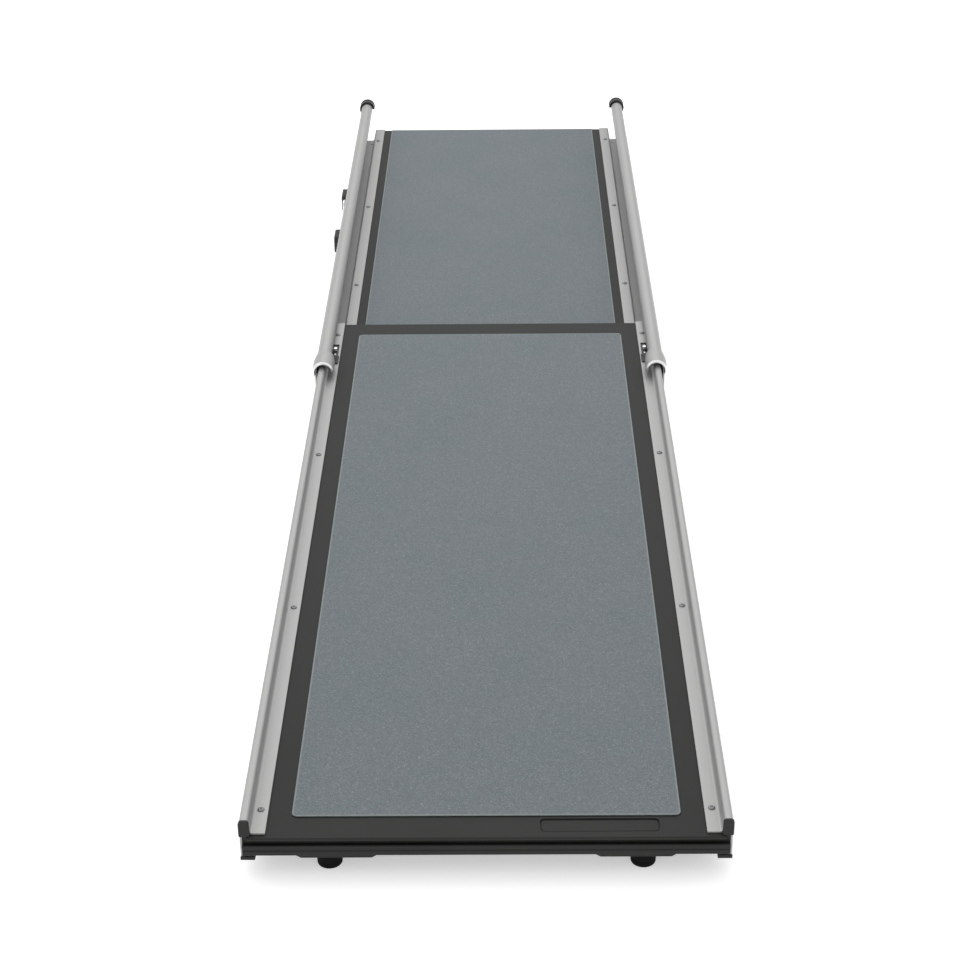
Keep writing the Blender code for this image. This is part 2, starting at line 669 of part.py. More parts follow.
def rib_end_cap(word, side):
    """Cap on the front end of a lower rail's rib, with a plug inside the rib."""
    outer = HALF_WIDTH + CAP_OVERHANG
    top = DECK_Z + RIB_HEIGHT + CAP_TOP
    base = DECK_Z - RAIL_WALL
    lean = (RIB_FOOT - RIB_TOP) / RIB_HEIGHT
    face = [
        (outer, base),
        (outer, top),
        (HALF_WIDTH - RIB_TOP - CAP_OVERHANG, top),
        (HALF_WIDTH - RIB_FOOT - CAP_OVERHANG, base),
    ]
    radii = [CAP_TOP, RIB_BEND + CAP_TOP, RIB_BEND + CAP_TOP, 0]
    cap = prism("rib_end_cap_" + word, on_side(rounded(face, radii, 4), side), "Y",
                LOWER_FRONT - CAP_THICKNESS, LOWER_FRONT - SEAT_GAP)
    inset = RAIL_WALL + 2 * SEAT_GAP
    high = DECK_Z + RIB_HEIGHT - inset
    low = DECK_Z + CAP_PLUG_FOOT
    wall = HALF_WIDTH - RAIL_WALL - SEAT_GAP
    inner_high = HALF_WIDTH - RIB_TOP + inset
    inner_low = inner_high - lean * (high - low)
    plug = rounded([(wall, low), (wall, high), (inner_high, high), (inner_low, low)],
                   [0, RIB_BEND / 2, RIB_BEND / 2, 0], 2)
    boolean(cap, prism("rib_plug_" + word, on_side(plug, side), "Y", LOWER_FRONT - CAP_THICKNESS / 2,
                       LOWER_FRONT + CAP_PLUG, CUTTERS), "UNION")
    return finish_piece(cap, "cap_plastic")


def rear_shoe(word, side):
    """Glide at the lower rail's rear end: it runs on the channel floor and stops the travel."""
    inner = HALF_WIDTH - LOWER_LIP - SHOE_INSET
    tab = HALF_WIDTH + SEAT_GAP
    outer = tab + SHOE_TAB
    high = LIP_BASE - SEAT_GAP
    low = high - SHOE_BASE
    top = DECK_Z - REAR_SHOE_TOP
    outline = [
        (inner, low),
        (outer - SHOE_CHAMFER, low),
        (outer, low + SHOE_CHAMFER),
        (outer, top),
        (tab, top),
        (tab, high),
        (inner, high),
    ]
    shoe = prism("rear_glide_shoe_" + word, on_side(outline, side), "Y",
                 LOWER_REAR - SEAT_GAP - REAR_SHOE_LENGTH, LOWER_REAR - SEAT_GAP)
    return finish_piece(shoe, "cap_plastic")


def front_shoe(word, side):
    """Skid on the front end of the foot lip."""
    high = LIP_BASE - SEAT_GAP
    low = high - SHOE_BASE
    front = LOWER_FRONT - SEAT_GAP - FRONT_SHOE_FACE
    outline = [
        (front, low),
        (LOWER_FRONT + FRONT_SHOE_LENGTH, low),
        (LOWER_FRONT + FRONT_SHOE_LENGTH, high),
        (LOWER_FRONT - SEAT_GAP, high),
        (LOWER_FRONT - SEAT_GAP, LIP_BASE + FRONT_SHOE_RISE),
        (front, LIP_BASE + FRONT_SHOE_RISE),
    ]
    inner = side * (HALF_WIDTH - LOWER_LIP - SHOE_INSET)
    outer = side * (HALF_WIDTH + FRONT_SHOE_TAB)
    shoe = prism("front_glide_shoe_" + word, outline, "X", min(inner, outer), max(inner, outer))
    return finish_piece(shoe, "cap_plastic")


def lock_bezel(word, side):
    """Plastic guide in the flange's window: a recessed floor, a sleeve for the pin and a thumb tab."""
    floor_top = DECK_Z - BEZEL_DEPTH
    floor_base = LOWER_DECK_TOP + SEAT_GAP
    frame = rounded_box(PIN_X - WINDOW_HALF + SEAT_GAP, PIN_X + WINDOW_HALF - SEAT_GAP,
                        PIN_Y - WINDOW_NEAR + SEAT_GAP, PIN_Y + WINDOW_FAR - SEAT_GAP, WINDOW_CORNER, 2)
    bezel = prism("lock_bezel_" + word, on_side(frame, side), "Z", floor_base, DECK_Z)
    wall = BEZEL_WALL
    recess = rounded_box(PIN_X - WINDOW_HALF + wall, PIN_X + WINDOW_HALF - wall,
                         PIN_Y - TAB_FAR + wall, PIN_Y + WINDOW_FAR - wall, WINDOW_CORNER, 2)
    neck = rounded_box(PIN_X - WINDOW_HALF + wall, PIN_X + WINDOW_HALF - wall,
                       PIN_Y - WINDOW_NEAR + wall, PIN_Y - TAB_FAR - wall, WINDOW_CORNER, 2)
    tab = rounded_box(PIN_X - TAB_HALF, PIN_X + WINDOW_HALF - SEAT_GAP, PIN_Y - TAB_NEAR,
                      PIN_Y - TAB_FAR, WINDOW_CORNER, 3)
    boolean(bezel, prism("lock_tab_neck_" + word, on_side(neck, side), "Z", DECK_Z - BEZEL_DEPTH / 2,
                         DECK_Z + 2 * SEAT_GAP, CUTTERS), "UNION")
    boolean(bezel, prism("lock_tab_" + word, on_side(tab, side), "Z", DECK_Z + SEAT_GAP,
                         DECK_Z + TAB_RISE, CUTTERS), "UNION")
    boolean(bezel, prism("lock_recess_" + word, on_side(recess, side), "Z", floor_top,
                         DECK_Z + TAB_RISE / 2, CUTTERS))
    sleeve = drill("lock_sleeve_" + word, [(side * PIN_X, PIN_Y)], BEZEL_SLEEVE,
                   LOWER_DECK_BASE + BOSS_STEP, (floor_base + floor_top) / 2, 16)
    boolean(bezel, sleeve, "UNION")
    boolean(bezel, drill("lock_bore_" + word, [(side * PIN_X, PIN_Y)], PIN_RADIUS + HOLE_PLAY,
                         LOWER_DECK_BASE - LOWER_DECK_DEPTH, DECK_Z + TAB_RISE, 16))
    boolean(bezel, drill("lock_screw_bore_" + word, [(side * PIN_X, PIN_Y - LOCK_SCREW_Y)],
                         LOCK_SCREW_SHANK + HOLE_PLAY, LOWER_DECK_TOP, DECK_Z, 12))
    return finish_piece(bezel, "cap_plastic")


def lock_pin(word, side):
    """Domed push-pull pin.  Pushed down, its tip enters the hole in the channel floor."""
    seat = DECK_Z - BEZEL_DEPTH + SEAT_GAP + PIN_STROKE
    tip = CHANNEL_FLOOR + RUN_GAP - seat
    profile = dome(PIN_HEAD, PIN_DOME, 3) + [
        (PIN_RADIUS, 0),
        (PIN_RADIUS, tip + PIN_RADIUS / 2),
        (PIN_RADIUS / 2, tip),
        (0, tip),
    ]
    pin = turned("lock_pin_" + word, profile, 16, Matrix.Translation((side * PIN_X, PIN_Y, seat)))
    return finish_piece(pin, "steel", smooth=False)


def dome_fastener(name, place, head, rise, shank, length):
    """A domed head on a plain shank, seated at its head's underside."""
    profile = dome(head, rise, 2) + [
        (shank, 0),
        (shank, -length),
        (0, -length),
    ]
    return finish_piece(turned(name, profile, 10, place), "steel", smooth=False)


def foot(name, x, y, height, bore_depth, parent=None):
    """Rubber foot with a counterbore for its screw."""
    profile = [
        (SCREW_SHANK + HOLE_PLAY, height),
        (FOOT_RADIUS, height),
        *arc((FOOT_RADIUS - FOOT_ROUND, FOOT_ROUND), FOOT_ROUND, 0, -90, 2),
        (FOOT_BORE, 0),
        (FOOT_BORE, bore_depth),
        (SCREW_SHANK + HOLE_PLAY, bore_depth),
        (SCREW_SHANK + HOLE_PLAY, height),
    ]
    piece = turned(name, profile, 24, Matrix.Translation((x, y, 0)))
    return finish_piece(piece, "rubber", parent, smooth=False)


def foot_screw(name, x, y, bore_depth, top, parent=None):
    """Screw up through a foot, into the deck's boss."""
    seat = bore_depth - SEAT_GAP
    profile = [
        (0, top - seat),
        (SCREW_SHANK, top - seat),
        (SCREW_SHANK, 0),
        (SCREW_HEAD, 0),
        (SCREW_HEAD, SCREW_CHAMFER - SCREW_HEAD_HEIGHT),
        (SCREW_HEAD - SCREW_CHAMFER, -SCREW_HEAD_HEIGHT),
        (0, -SCREW_HEAD_HEIGHT),
    ]
    piece = turned(name, profile, 12, Matrix.Translation((x, y, seat)))
    return finish_piece(piece, "steel", parent, smooth=False)


def lower_section():
    """Everything that stays with the lower rails."""
    lower_deck()
    lower_grip()
    toe_cap()
    foot_y = LOWER_FRONT + LOWER_FOOT_Y
    for word, side in SIDES.items():
        lower_rail(word, side)
        rib_end_cap(word, side)
        front_shoe(word, side)
        rear_shoe(word, side)
        lock_bezel(word, side)
        lock_pin(word, side)
        screw_place = Matrix.Translation((side * PIN_X, PIN_Y - LOCK_SCREW_Y,
                                          DECK_Z - BEZEL_DEPTH + SEAT_GAP))
        dome_fastener("lock_screw_" + word, screw_place, LOCK_SCREW_HEAD, LOCK_SCREW_DOME,
                      LOCK_SCREW_SHANK, LOCK_SCREW_LENGTH)
        for number, y in enumerate(lower_rivet_stations(), 1):
            place = Matrix.Translation((side * LOWER_RIVET_X, y, DECK_Z + SEAT_GAP))
            dome_fastener("lower_rivet_%s_%d" % (word, number), place, RIVET_HEAD, RIVET_DOME - SEAT_GAP,
                          RIVET_SHANK, RIVET_LENGTH)
        foot("lower_foot_" + word, side * FOOT_X, foot_y, FOOT_HEIGHT, LOWER_BORE_DEPTH)
        foot_screw("lower_foot_screw_" + word, side * FOOT_X, foot_y, LOWER_BORE_DEPTH,
                   LOWER_DECK_BASE + BOSS_STEP + SCREW_GRIP)


# Upper section

def upper_rail_path():
    """Middle of the upper rail's sheet, as (distance across, height)."""
    half = RAIL_WALL / 2
    wall = CHANNEL_INNER + half
    floor = CHANNEL_FLOOR - half
    step = STEP_X - half
    bends = rounded([(STEP_X - UPPER_FLANGE, UPPER_FLANGE_Z - half), (step, UPPER_FLANGE_Z - half),
                     (step, floor), (wall, floor), (wall, TUBE_Z)], [0, BEND, BEND, BEND, 0], 3, False)
    return bends[:-1] + arc((TUBE_X, TUBE_Z), TUBE_RADIUS - half, 0, 180, 16)


def upper_rivet_stations():
    """Rivet places along an upper rail, from the far end back."""
    return [UPPER_FAR - UPPER_RIVET_LAST - UPPER_RIVET_PITCH * i for i in range(RIVETS)]


def upper_rail(word, side, parent):
    """Upper side rail: deck flange, step, channel floor and wall, and the open tube on top."""
    outline = on_side(strip(upper_rail_path(), RAIL_WALL), side)
    rail = prism("upper_rail_" + word, outline, "Y", UPPER_NEAR, UPPER_FAR)
    over = UPPER_FLANGE_Z + DECK_GAP
    flange_holes = [(side * UPPER_RIVET_X, y) for y in upper_rivet_stations()]
    boolean(rail, drill("upper_rail_holes_" + word, flange_holes, RIVET_SHANK + HOLE_PLAY,
                        UPPER_DECK_TOP, over))
    lock_holes = [(side * PIN_X, y) for y in (PIN_Y, CLOSED_LOCK_Y)]
    boolean(rail, drill("lock_holes_" + word, lock_holes, PIN_RADIUS + HOLE_PLAY,
                        CHANNEL_FLOOR - 2 * RAIL_WALL, CHANNEL_FLOOR + RAIL_WALL))
    edge = STEP_X + SEAT_GAP / 2
    wall = CHANNEL_INNER - BEND / 2
    past = UPPER_FAR + TUBE_RADIUS
    inboard = STEP_X - 2 * UPPER_FLANGE
    notch = rounded([(inboard, FLANGE_FAR), (edge, FLANGE_FAR), (edge, FLOOR_FAR), (wall, FLOOR_FAR),
                     (wall, past), (inboard, past)],
                    [0, 0, NOTCH_CORNER, NOTCH_CORNER, 0, 0], 4)
    boolean(rail, prism("rail_notch_" + word, on_side(notch, side), "Z", CHANNEL_FLOOR - 2 * RAIL_WALL,
                        UPPER_FLANGE_Z + RAIL_WALL, CUTTERS))
    base = CHANNEL_FLOOR - RAIL_WALL
    centre = (UPPER_FAR - WALL_CORNER, base + WALL_CORNER)
    corner = arc(centre, WALL_CORNER, -90, 0, 8)
    corner += [(past, centre[1]), (past, base - RAIL_WALL), (centre[0], base - RAIL_WALL)]
    across = sorted((side * (CHANNEL_INNER - 2 * BEND), side * (WALL_OUTER + RAIL_WALL)))
    boolean(rail, prism("wall_corner_" + word, corner, "X", across[0], across[1], CUTTERS))
    hole = turned("stop_hole_" + word, [(0, RAIL_WALL), (STOP_SHANK + HOLE_PLAY, RAIL_WALL),
                                        (STOP_SHANK + HOLE_PLAY, -RAIL_WALL), (0, -RAIL_WALL)], 12,
                  stop_place(side), CUTTERS)
    boolean(rail, hole)
    return finish_piece(rail, "aluminium", parent)


def stop_place(side):
    """Place of a travel stop: on the channel wall, just before the rear glide shoe."""
    shoe_near = LOWER_REAR - SEAT_GAP - REAR_SHOE_LENGTH
    y = shoe_near - SEAT_GAP - STOP_BOSS
    place = Matrix.Translation((side * (CHANNEL_INNER + RAIL_WALL / 2), y, DECK_Z - STOP_DROP))
    return place @ Matrix.Rotation(side * math.pi / 2, 4, "Y")


def travel_stop(word, side, parent):
    """Screw through the channel wall, whose boss stops the lower section's rear glide shoe."""
    outer = RAIL_WALL / 2 + SEAT_GAP
    profile = [(radius, outer + rise) for radius, rise in dome(STOP_HEAD, STOP_HEAD_HEIGHT, 2)]
    profile += [
        (STOP_SHANK, outer),
        (STOP_SHANK, -outer),
        (STOP_BOSS, -outer),
        (STOP_BOSS, -outer - STOP_REACH),
        (0, -outer - STOP_REACH),
    ]
    return finish_piece(turned("travel_stop_" + word, profile, 16, stop_place(side)), "steel", parent,
                        smooth=False)


def upper_deck(parent):
    """Upper deck moulding, under the flanges of its rails."""
    corners = [
        (FLANGE_FAR, UPPER_DECK_TOP),
        (UPPER_DECK_NEAR, UPPER_DECK_TOP),
        (UPPER_DECK_NEAR, UPPER_DECK_BASE),
        (FLANGE_FAR, UPPER_DECK_BASE),
    ]
    outline = rounded(corners, [EDGE_ROUND / 2] * 2 + [0, 0], 3)
    deck = ribbed_deck("upper_deck", outline, UPPER_DECK_HALF, UPPER_DECK_NEAR, FLANGE_FAR,
                       UPPER_DECK_TOP, UPPER_DECK_DEPTH, UPPER_BAYS, FLANGE_FAR - UPPER_FOOT_Y)
    shanks = [(side * UPPER_RIVET_X, y) for side in SIDES.values() for y in upper_rivet_stations()]
    boolean(deck, drill("upper_deck_rivet_holes", shanks, RIVET_SHANK + HOLE_PLAY,
                        UPPER_DECK_TOP - 2 * SKIN, UPPER_DECK_TOP + RAIL_WALL))
    return finish_piece(deck, "deck_plastic", parent)


def upper_grip(parent):
    """Gritted sheet on the upper deck."""
    outline = rounded_box(-UPPER_SHEET_HALF, UPPER_SHEET_HALF, UPPER_DECK_NEAR + UPPER_SHEET_MARGIN,
                          FLANGE_FAR - UPPER_SHEET_MARGIN, UPPER_SHEET_CORNER, 3)
    base = UPPER_DECK_TOP + SEAT_GAP
    return finish_piece(prism("upper_grip_sheet", outline, "Z", base, base + SHEET), "grip", parent)


def upper_end_cap(parent):
    """Moulding that closes the upper deck's far end."""
    cap = boxes("upper_end_cap", [((-UPPER_DECK_HALF, FLANGE_FAR + SEAT_GAP, UPPER_DECK_BASE),
                                   (UPPER_DECK_HALF, FLANGE_FAR + SEAT_GAP + END_CAP_WALL,
                                    UPPER_DECK_TOP - END_CAP_DROP))], PARTS)
    bevel(cap, END_CAP_WALL / 4)
    return finish_piece(cap, "cap_plastic", parent)


def along_ramp(x, y, z):
    """A place whose Z axis runs up the ramp."""
    return Matrix.Translation((x, y, z)) @ Matrix.Rotation(-math.pi / 2, 4, "X")


def lower_inboard(name, side, near, far, outer, height):
    """Cutter for all that lies under a tube's open side, out to the given distance."""
    inner = side * (STEP_X - UPPER_FLANGE)
    outer = side * outer
    return boxes(name, [((min(inner, outer), near, 0), (max(inner, outer), far, height))], CUTTERS)


def guide_collar(word, side, parent):
    """Flared collar on the tube's near end, open below so that the lower rail passes."""
    x = side * (TUBE_X - COLLAR_INSET)
    z = TUBE_Z + COLLAR_RISE
    mouth = UPPER_NEAR - COLLAR_LEAD
    length = COLLAR_BODY + COLLAR_TAPER
    profile = [
        (0, length),
        (COLLAR_TAIL - COLLAR_ROUND, length),
        (COLLAR_TAIL, length - COLLAR_ROUND),
        (COLLAR_RADIUS, COLLAR_BODY),
        *arc((COLLAR_RADIUS - COLLAR_ROUND, COLLAR_ROUND), COLLAR_ROUND, 0, -90, 2),
        (0, 0),
    ]
    collar = turned("guide_collar_" + word, profile, 40, along_ramp(x, mouth, z))
    recess_radius = COLLAR_RADIUS - COLLAR_LIP
    recess = [(0, COLLAR_MOUTH_DEPTH), (recess_radius, COLLAR_MOUTH_DEPTH), (recess_radius, 0),
              (recess_radius, -COLLAR_ROUND), (0, -COLLAR_ROUND)]
    boolean(collar, turned("collar_mouth_" + word, recess, 40, along_ramp(x, mouth, z), CUTTERS))
    bore_radius = TUBE_RADIUS + SEAT_GAP
    bore = [(0, 2 * length), (bore_radius, 2 * length), (bore_radius, -COLLAR_LEAD), (0, -COLLAR_LEAD)]
    boolean(collar, turned("collar_bore_" + word, bore, 40, along_ramp(side * TUBE_X, mouth, TUBE_Z),
                           CUTTERS))
    boolean(collar, lower_inboard("collar_opening_" + word, side, mouth - COLLAR_LEAD,
                                  mouth + 2 * length, WALL_OUTER + SEAT_GAP, TUBE_Z))
    return finish_piece(collar, "aluminium", parent, smooth=False)


def tube_end_cap(word, side, parent):
    """Plastic cap over the tube's far end, open below like the tube."""
    place = along_ramp(side * TUBE_X, UPPER_FAR, TUBE_Z)
    top = SEAT_GAP + TUBE_CAP_WALL
    profile = [
        (0, top),
        *arc((TUBE_CAP_RADIUS - TUBE_CAP_ROUND, top - TUBE_CAP_ROUND), TUBE_CAP_ROUND, 90, 0, 2),
        (TUBE_CAP_RADIUS, -TUBE_CAP_SLEEVE),
        (0, -TUBE_CAP_SLEEVE),
    ]
    cap = turned("tube_end_cap_" + word, profile, 32, place)
    bore_radius = TUBE_RADIUS + SEAT_GAP
    bore = [(0, SEAT_GAP), (bore_radius, SEAT_GAP), (bore_radius, -2 * TUBE_CAP_SLEEVE),
            (0, -2 * TUBE_CAP_SLEEVE)]
    boolean(cap, turned("tube_cap_bore_" + word, bore, 32, place, CUTTERS))
    boolean(cap, lower_inboard("tube_cap_slot_" + word, side, UPPER_FAR - 2 * TUBE_CAP_SLEEVE,
                               UPPER_FAR + SEAT_GAP, WALL_OUTER + SEAT_GAP, TUBE_Z))
    boolean(cap, lower_inboard("tube_cap_opening_" + word, side, UPPER_FAR + SEAT_GAP / 2,
                               UPPER_FAR + 2 * TUBE_CAP_WALL, TUBE_X, TUBE_Z))
    return finish_piece(cap, "cap_plastic", parent, smooth=False)


# Carry handle

HANDLE_MIDDLE = UPPER_FAR - HANDLE_Y
PIVOT_X = -(WALL_OUTER + PIVOT_OUT)
PIVOT_Z = DECK_Z - PIVOT_DROP
BRACKET_FACE = (BRACKET_SPACING - BRACKET_LENGTH) / 2


def handle_bracket(word, direction, parent):
    """Moulded bracket on the channel wall, bored for one end of the bail."""
    middle = HANDLE_MIDDLE + direction * BRACKET_SPACING / 2
    top = DECK_Z - BRACKET_TOP
    outline = rounded_box(middle - BRACKET_LENGTH / 2, middle + BRACKET_LENGTH / 2,
                          top - BRACKET_HEIGHT, top, BRACKET_ROUND, 4)
    near_wall = -(WALL_OUTER + SEAT_GAP)
    bracket = prism("handle_bracket_" + word, outline, "X", near_wall - BRACKET_DEPTH, near_wall)
    bevel(bracket, BRACKET_BEVEL, 2, 60)
    face = HANDLE_MIDDLE + direction * BRACKET_FACE
    depth = direction * (BAIL_TRUNNION + SEAT_GAP)
    place = along_ramp(PIVOT_X, face, PIVOT_Z)
    ends = sorted((depth, -depth))
    bore_radius = BAIL_RADIUS + HOLE_PLAY
    bore = [(0, ends[1]), (bore_radius, ends[1]), (bore_radius, ends[0]), (0, ends[0])]
    boolean(bracket, turned("handle_bore_" + word, bore, 16, place, CUTTERS))
    return finish_piece(bracket, "cap_plastic", parent)


def handle_bail(parent):
    """Bent rod: a trunnion in each bracket, two arms and the bar that the grip sits on."""
    arm = BRACKET_FACE - BAIL_SHOULDER
    end = BRACKET_FACE + BAIL_TRUNNION
    path = rounded([(-end, 0), (-arm, 0), (-arm, -BAIL_DROP), (arm, -BAIL_DROP), (arm, 0), (end, 0)],
                   [0, BAIL_BEND, BAIL_BEND, BAIL_BEND, BAIL_BEND, 0], 5, False)
    curve = bpy.data.curves.new("handle_bail", "CURVE")
    curve.dimensions = "3D"
    curve.bevel_depth = BAIL_RADIUS
    curve.bevel_resolution = 3
    curve.use_fill_caps = True
    spline = curve.splines.new("POLY")
    spline.points.add(len(path) - 1)
    for point, (along, height) in zip(spline.points, path):
        point.co = (0, along, height, 1)
    guide = bpy.data.objects.new("handle_bail_curve", curve)
    guide.matrix_world = Matrix.Translation((PIVOT_X, HANDLE_MIDDLE, PIVOT_Z))
    bpy.context.scene.collection.objects.link(guide)
    return finish_piece(mesh_from_curve("handle_bail", guide), "steel", parent)


def handle_grip(parent):
    """Flattened hand grip over the bail's bar."""
    half = BRACKET_FACE - BAIL_SHOULDER - BAIL_BEND - GRIP_SHOULDER
    z = PIVOT_Z - BAIL_DROP
    outline = rounded_box(PIVOT_X - GRIP_THICKNESS / 2, PIVOT_X + GRIP_THICKNESS / 2,
                          z - GRIP_WIDTH / 2, z + GRIP_WIDTH / 2, GRIP_ROUND, 5)
    grip = prism("handle_grip", outline, "Y", HANDLE_MIDDLE - half, HANDLE_MIDDLE + half)
    bore_radius = BAIL_RADIUS + SEAT_GAP
    bore = [(0, 2 * half), (bore_radius, 2 * half), (bore_radius, -2 * half), (0, -2 * half)]
    boolean(grip, turned("grip_bore", bore, 12, along_ramp(PIVOT_X, HANDLE_MIDDLE, z), CUTTERS))
    return finish_piece(grip, "grip_plastic", parent)


def upper_section():
    """Everything that slides with the upper rails."""
    slide = new_empty("telescope_slide", (0, UPPER_NEAR, CHANNEL_FLOOR))
    upper_deck(slide)
    upper_grip(slide)
    upper_end_cap(slide)
    foot_y = FLANGE_FAR - UPPER_FOOT_Y
    foot_height = UPPER_DECK_BASE - SEAT_GAP
    for word, side in SIDES.items():
        upper_rail(word, side, slide)
        guide_collar(word, side, slide)
        tube_end_cap(word, side, slide)
        travel_stop(word, side, slide)
        for number, y in enumerate(reversed(upper_rivet_stations()), 1):
            place = Matrix.Translation((side * UPPER_RIVET_X, y, UPPER_FLANGE_Z + SEAT_GAP))
            rivet = dome_fastener("upper_rivet_%s_%d" % (word, number), place, RIVET_HEAD,
                                  RIVET_DOME - SEAT_GAP, RIVET_SHANK, RIVET_LENGTH)
            attach(rivet, slide)
        foot("upper_foot_" + word, side * FOOT_X, foot_y, foot_height, UPPER_BORE_DEPTH, slide)
        foot_screw("upper_foot_screw_" + word, side * FOOT_X, foot_y, UPPER_BORE_DEPTH,
                   UPPER_DECK_BASE + BOSS_STEP + SCREW_GRIP, slide)
    handle_bracket("near", -1, slide)
    handle_bracket("far", 1, slide)
    swing = new_empty("handle_swing", (PIVOT_X, HANDLE_MIDDLE, PIVOT_Z))
    attach(swing, slide)
    handle_bail(swing)
    handle_grip(swing)


clear_scene()
PARTS = new_collection("telescoping_pet_ramp")
CUTTERS = new_collection("cutters")
MATERIAL = {name: new_material(name) for name in MATERIALS}
lower_section()
upper_section()
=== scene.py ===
"""Looks of the telescoping pet ramp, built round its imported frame.

Metres, +Z up, +Y up the ramp.  Each piece takes its place from the frame's boxes, stands for the node that
it is named after, and gets a procedural finish.
"""
import json
import math

import bmesh
import bpy
from mathutils import Matrix, Vector

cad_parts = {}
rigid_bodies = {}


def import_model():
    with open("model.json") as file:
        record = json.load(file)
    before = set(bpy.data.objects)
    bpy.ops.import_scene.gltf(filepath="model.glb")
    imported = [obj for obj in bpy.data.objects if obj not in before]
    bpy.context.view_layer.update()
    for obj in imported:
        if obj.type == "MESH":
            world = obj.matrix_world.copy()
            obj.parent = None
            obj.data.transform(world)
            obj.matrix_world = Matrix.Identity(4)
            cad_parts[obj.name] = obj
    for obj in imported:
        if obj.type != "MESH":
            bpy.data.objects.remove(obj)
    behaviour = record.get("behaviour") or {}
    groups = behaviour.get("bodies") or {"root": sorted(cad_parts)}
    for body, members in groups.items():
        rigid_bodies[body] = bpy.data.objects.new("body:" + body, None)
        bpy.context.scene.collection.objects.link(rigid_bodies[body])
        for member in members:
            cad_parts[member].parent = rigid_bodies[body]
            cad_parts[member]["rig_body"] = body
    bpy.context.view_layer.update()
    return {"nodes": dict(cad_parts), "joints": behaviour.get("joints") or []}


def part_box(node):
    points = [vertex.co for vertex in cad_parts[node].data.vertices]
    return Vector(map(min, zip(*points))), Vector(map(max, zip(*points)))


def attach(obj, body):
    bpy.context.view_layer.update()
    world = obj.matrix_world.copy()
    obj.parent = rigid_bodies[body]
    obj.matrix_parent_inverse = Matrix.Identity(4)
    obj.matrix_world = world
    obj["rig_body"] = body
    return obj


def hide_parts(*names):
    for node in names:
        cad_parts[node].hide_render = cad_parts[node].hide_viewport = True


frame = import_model()

SIDES = {"left": -1, "right": 1}
TRAVEL = next(-joint["range_m"][0] for joint in frame["joints"] if joint["name"] == "telescope_slide")

# Camera, fitted to the photograph's rails, rivets and corners
IMAGE_SIZE = 971             # pixels on the longer side
FOCAL_LENGTH = 2068.31       # pixels
CAMERA_X = 0.01960
CAMERA_BACK = 1.59190        # before the lower rails' front ends
CAMERA_RISE = 1.25307        # over the lower deck flange
CAMERA_PITCH = 28.684        # degrees below the horizon
CAMERA_YAW = 0.609
CAMERA_ROLL = -0.614
SENSOR = 36.0                # millimetres
CLIP_START = 0.05
CLIP_END = 100

# Studio
WORLD_STRENGTH = 0.85
FLOOR_HALF = 30
FLOOR_GLOW = 0.45            # emission strength
LIGHTS = {                   # place, target, size and watts
    "key_light": ((-2.2, 0.8, 3.3), (0, 0.3, 0), 3.2, 38),
    "fill_light": ((1.9, 0.8, 3.4), (0, 0.3, 0), 3.6, 16),
    "back_light": ((0.1, 3.4, 3.2), (0, 0.4, 0), 3.0, 29),
}

# Sheet rails
WALL = 0.0018
BEND = 0.0020
RIB_HEIGHT = 0.0150
RIB_TOP = 0.0088
RIB_FOOT = 0.0100
RIB_BEND = 0.0025
RIB_FILLET = 0.0040
LOWER_FLANGE = 0.0247
LOWER_LIP = 0.0130
UPPER_FLANGE = 0.0173
FLOOR_SETBACK = 0.0770       # tube's far end to the channel floor's
TUBE_RADIUS = 0.0100
NOTCH_CORNER = 0.0050
WALL_CORNER = 0.0180
EDGE = 0.0003                # broken edge on a cut sheet
GAP = 0.0003                 # between pieces that touch

# Decks and grip sheets
SKIN = 0.0030
DECK_RIB = 0.0025
DECK_EDGE = 0.0030
NOSE_THICKNESS = 0.0036
NOSE_SIDE = 0.0070           # nose's ends, inboard of the rails' outer faces
NOSE_ROUND = 0.0017
POCKET_ROUND = 0.0040
LOWER_BAYS = (4, 10)         # pockets across and along
UPPER_BAYS = (4, 9)
BOSS_RADIUS = 0.0080
BOSS_SETBACK = 0.0005        # boss's tip, inside the deck's underside
SHEET_RIM = 0.0019
SHEET_EDGE = 0.0006
LOWER_SHEET_CORNER = 0.0060
UPPER_SHEET_CORNER = 0.0020
LABEL_INSET = 0.0217
LABEL_WIDTH = 0.1165
LABEL_FRONT = 0.0038
LABEL_LENGTH = 0.0202
LABEL_CORNER = 0.0050
LABEL_DEPTH = 0.0010
LABEL_GROOVE = 0.0008        # groove's depth, under the recess
LABEL_LINE = 0.0015          # groove's width

# Toe cap and far end cap
TOE_WALL = 0.0044
TOE_PLATE = 0.0024
TOE_SIDE_DEPTH = 0.0120
TOE_SIDE_GAP = 0.0050
TOE_CREASE = 0.0009
TOE_ROUND = 0.0015
TOE_CREASE_ROUND = 0.0008
TOE_FILLET = 0.0010
PAD_DROP = 0.0028
PAD_HALF = 0.0345
PAD_SLOPE = 0.0045
PAD_ROUND = 0.0030
FAR_CAP_EDGE = 0.0007

# Rib end caps and glide shoes
RIB_CAP_CORNER = 0.0034
RIB_CAP_EDGE = 0.0006
SHOE_HEEL = 0.0015           # rear shoe's outer lower corner
SHOE_TAB = 0.0006            # rear shoe's outer upper corner
SHOE_SOLE = 0.0007           # front shoe's lower corners
SHOE_CORNER = 0.0004

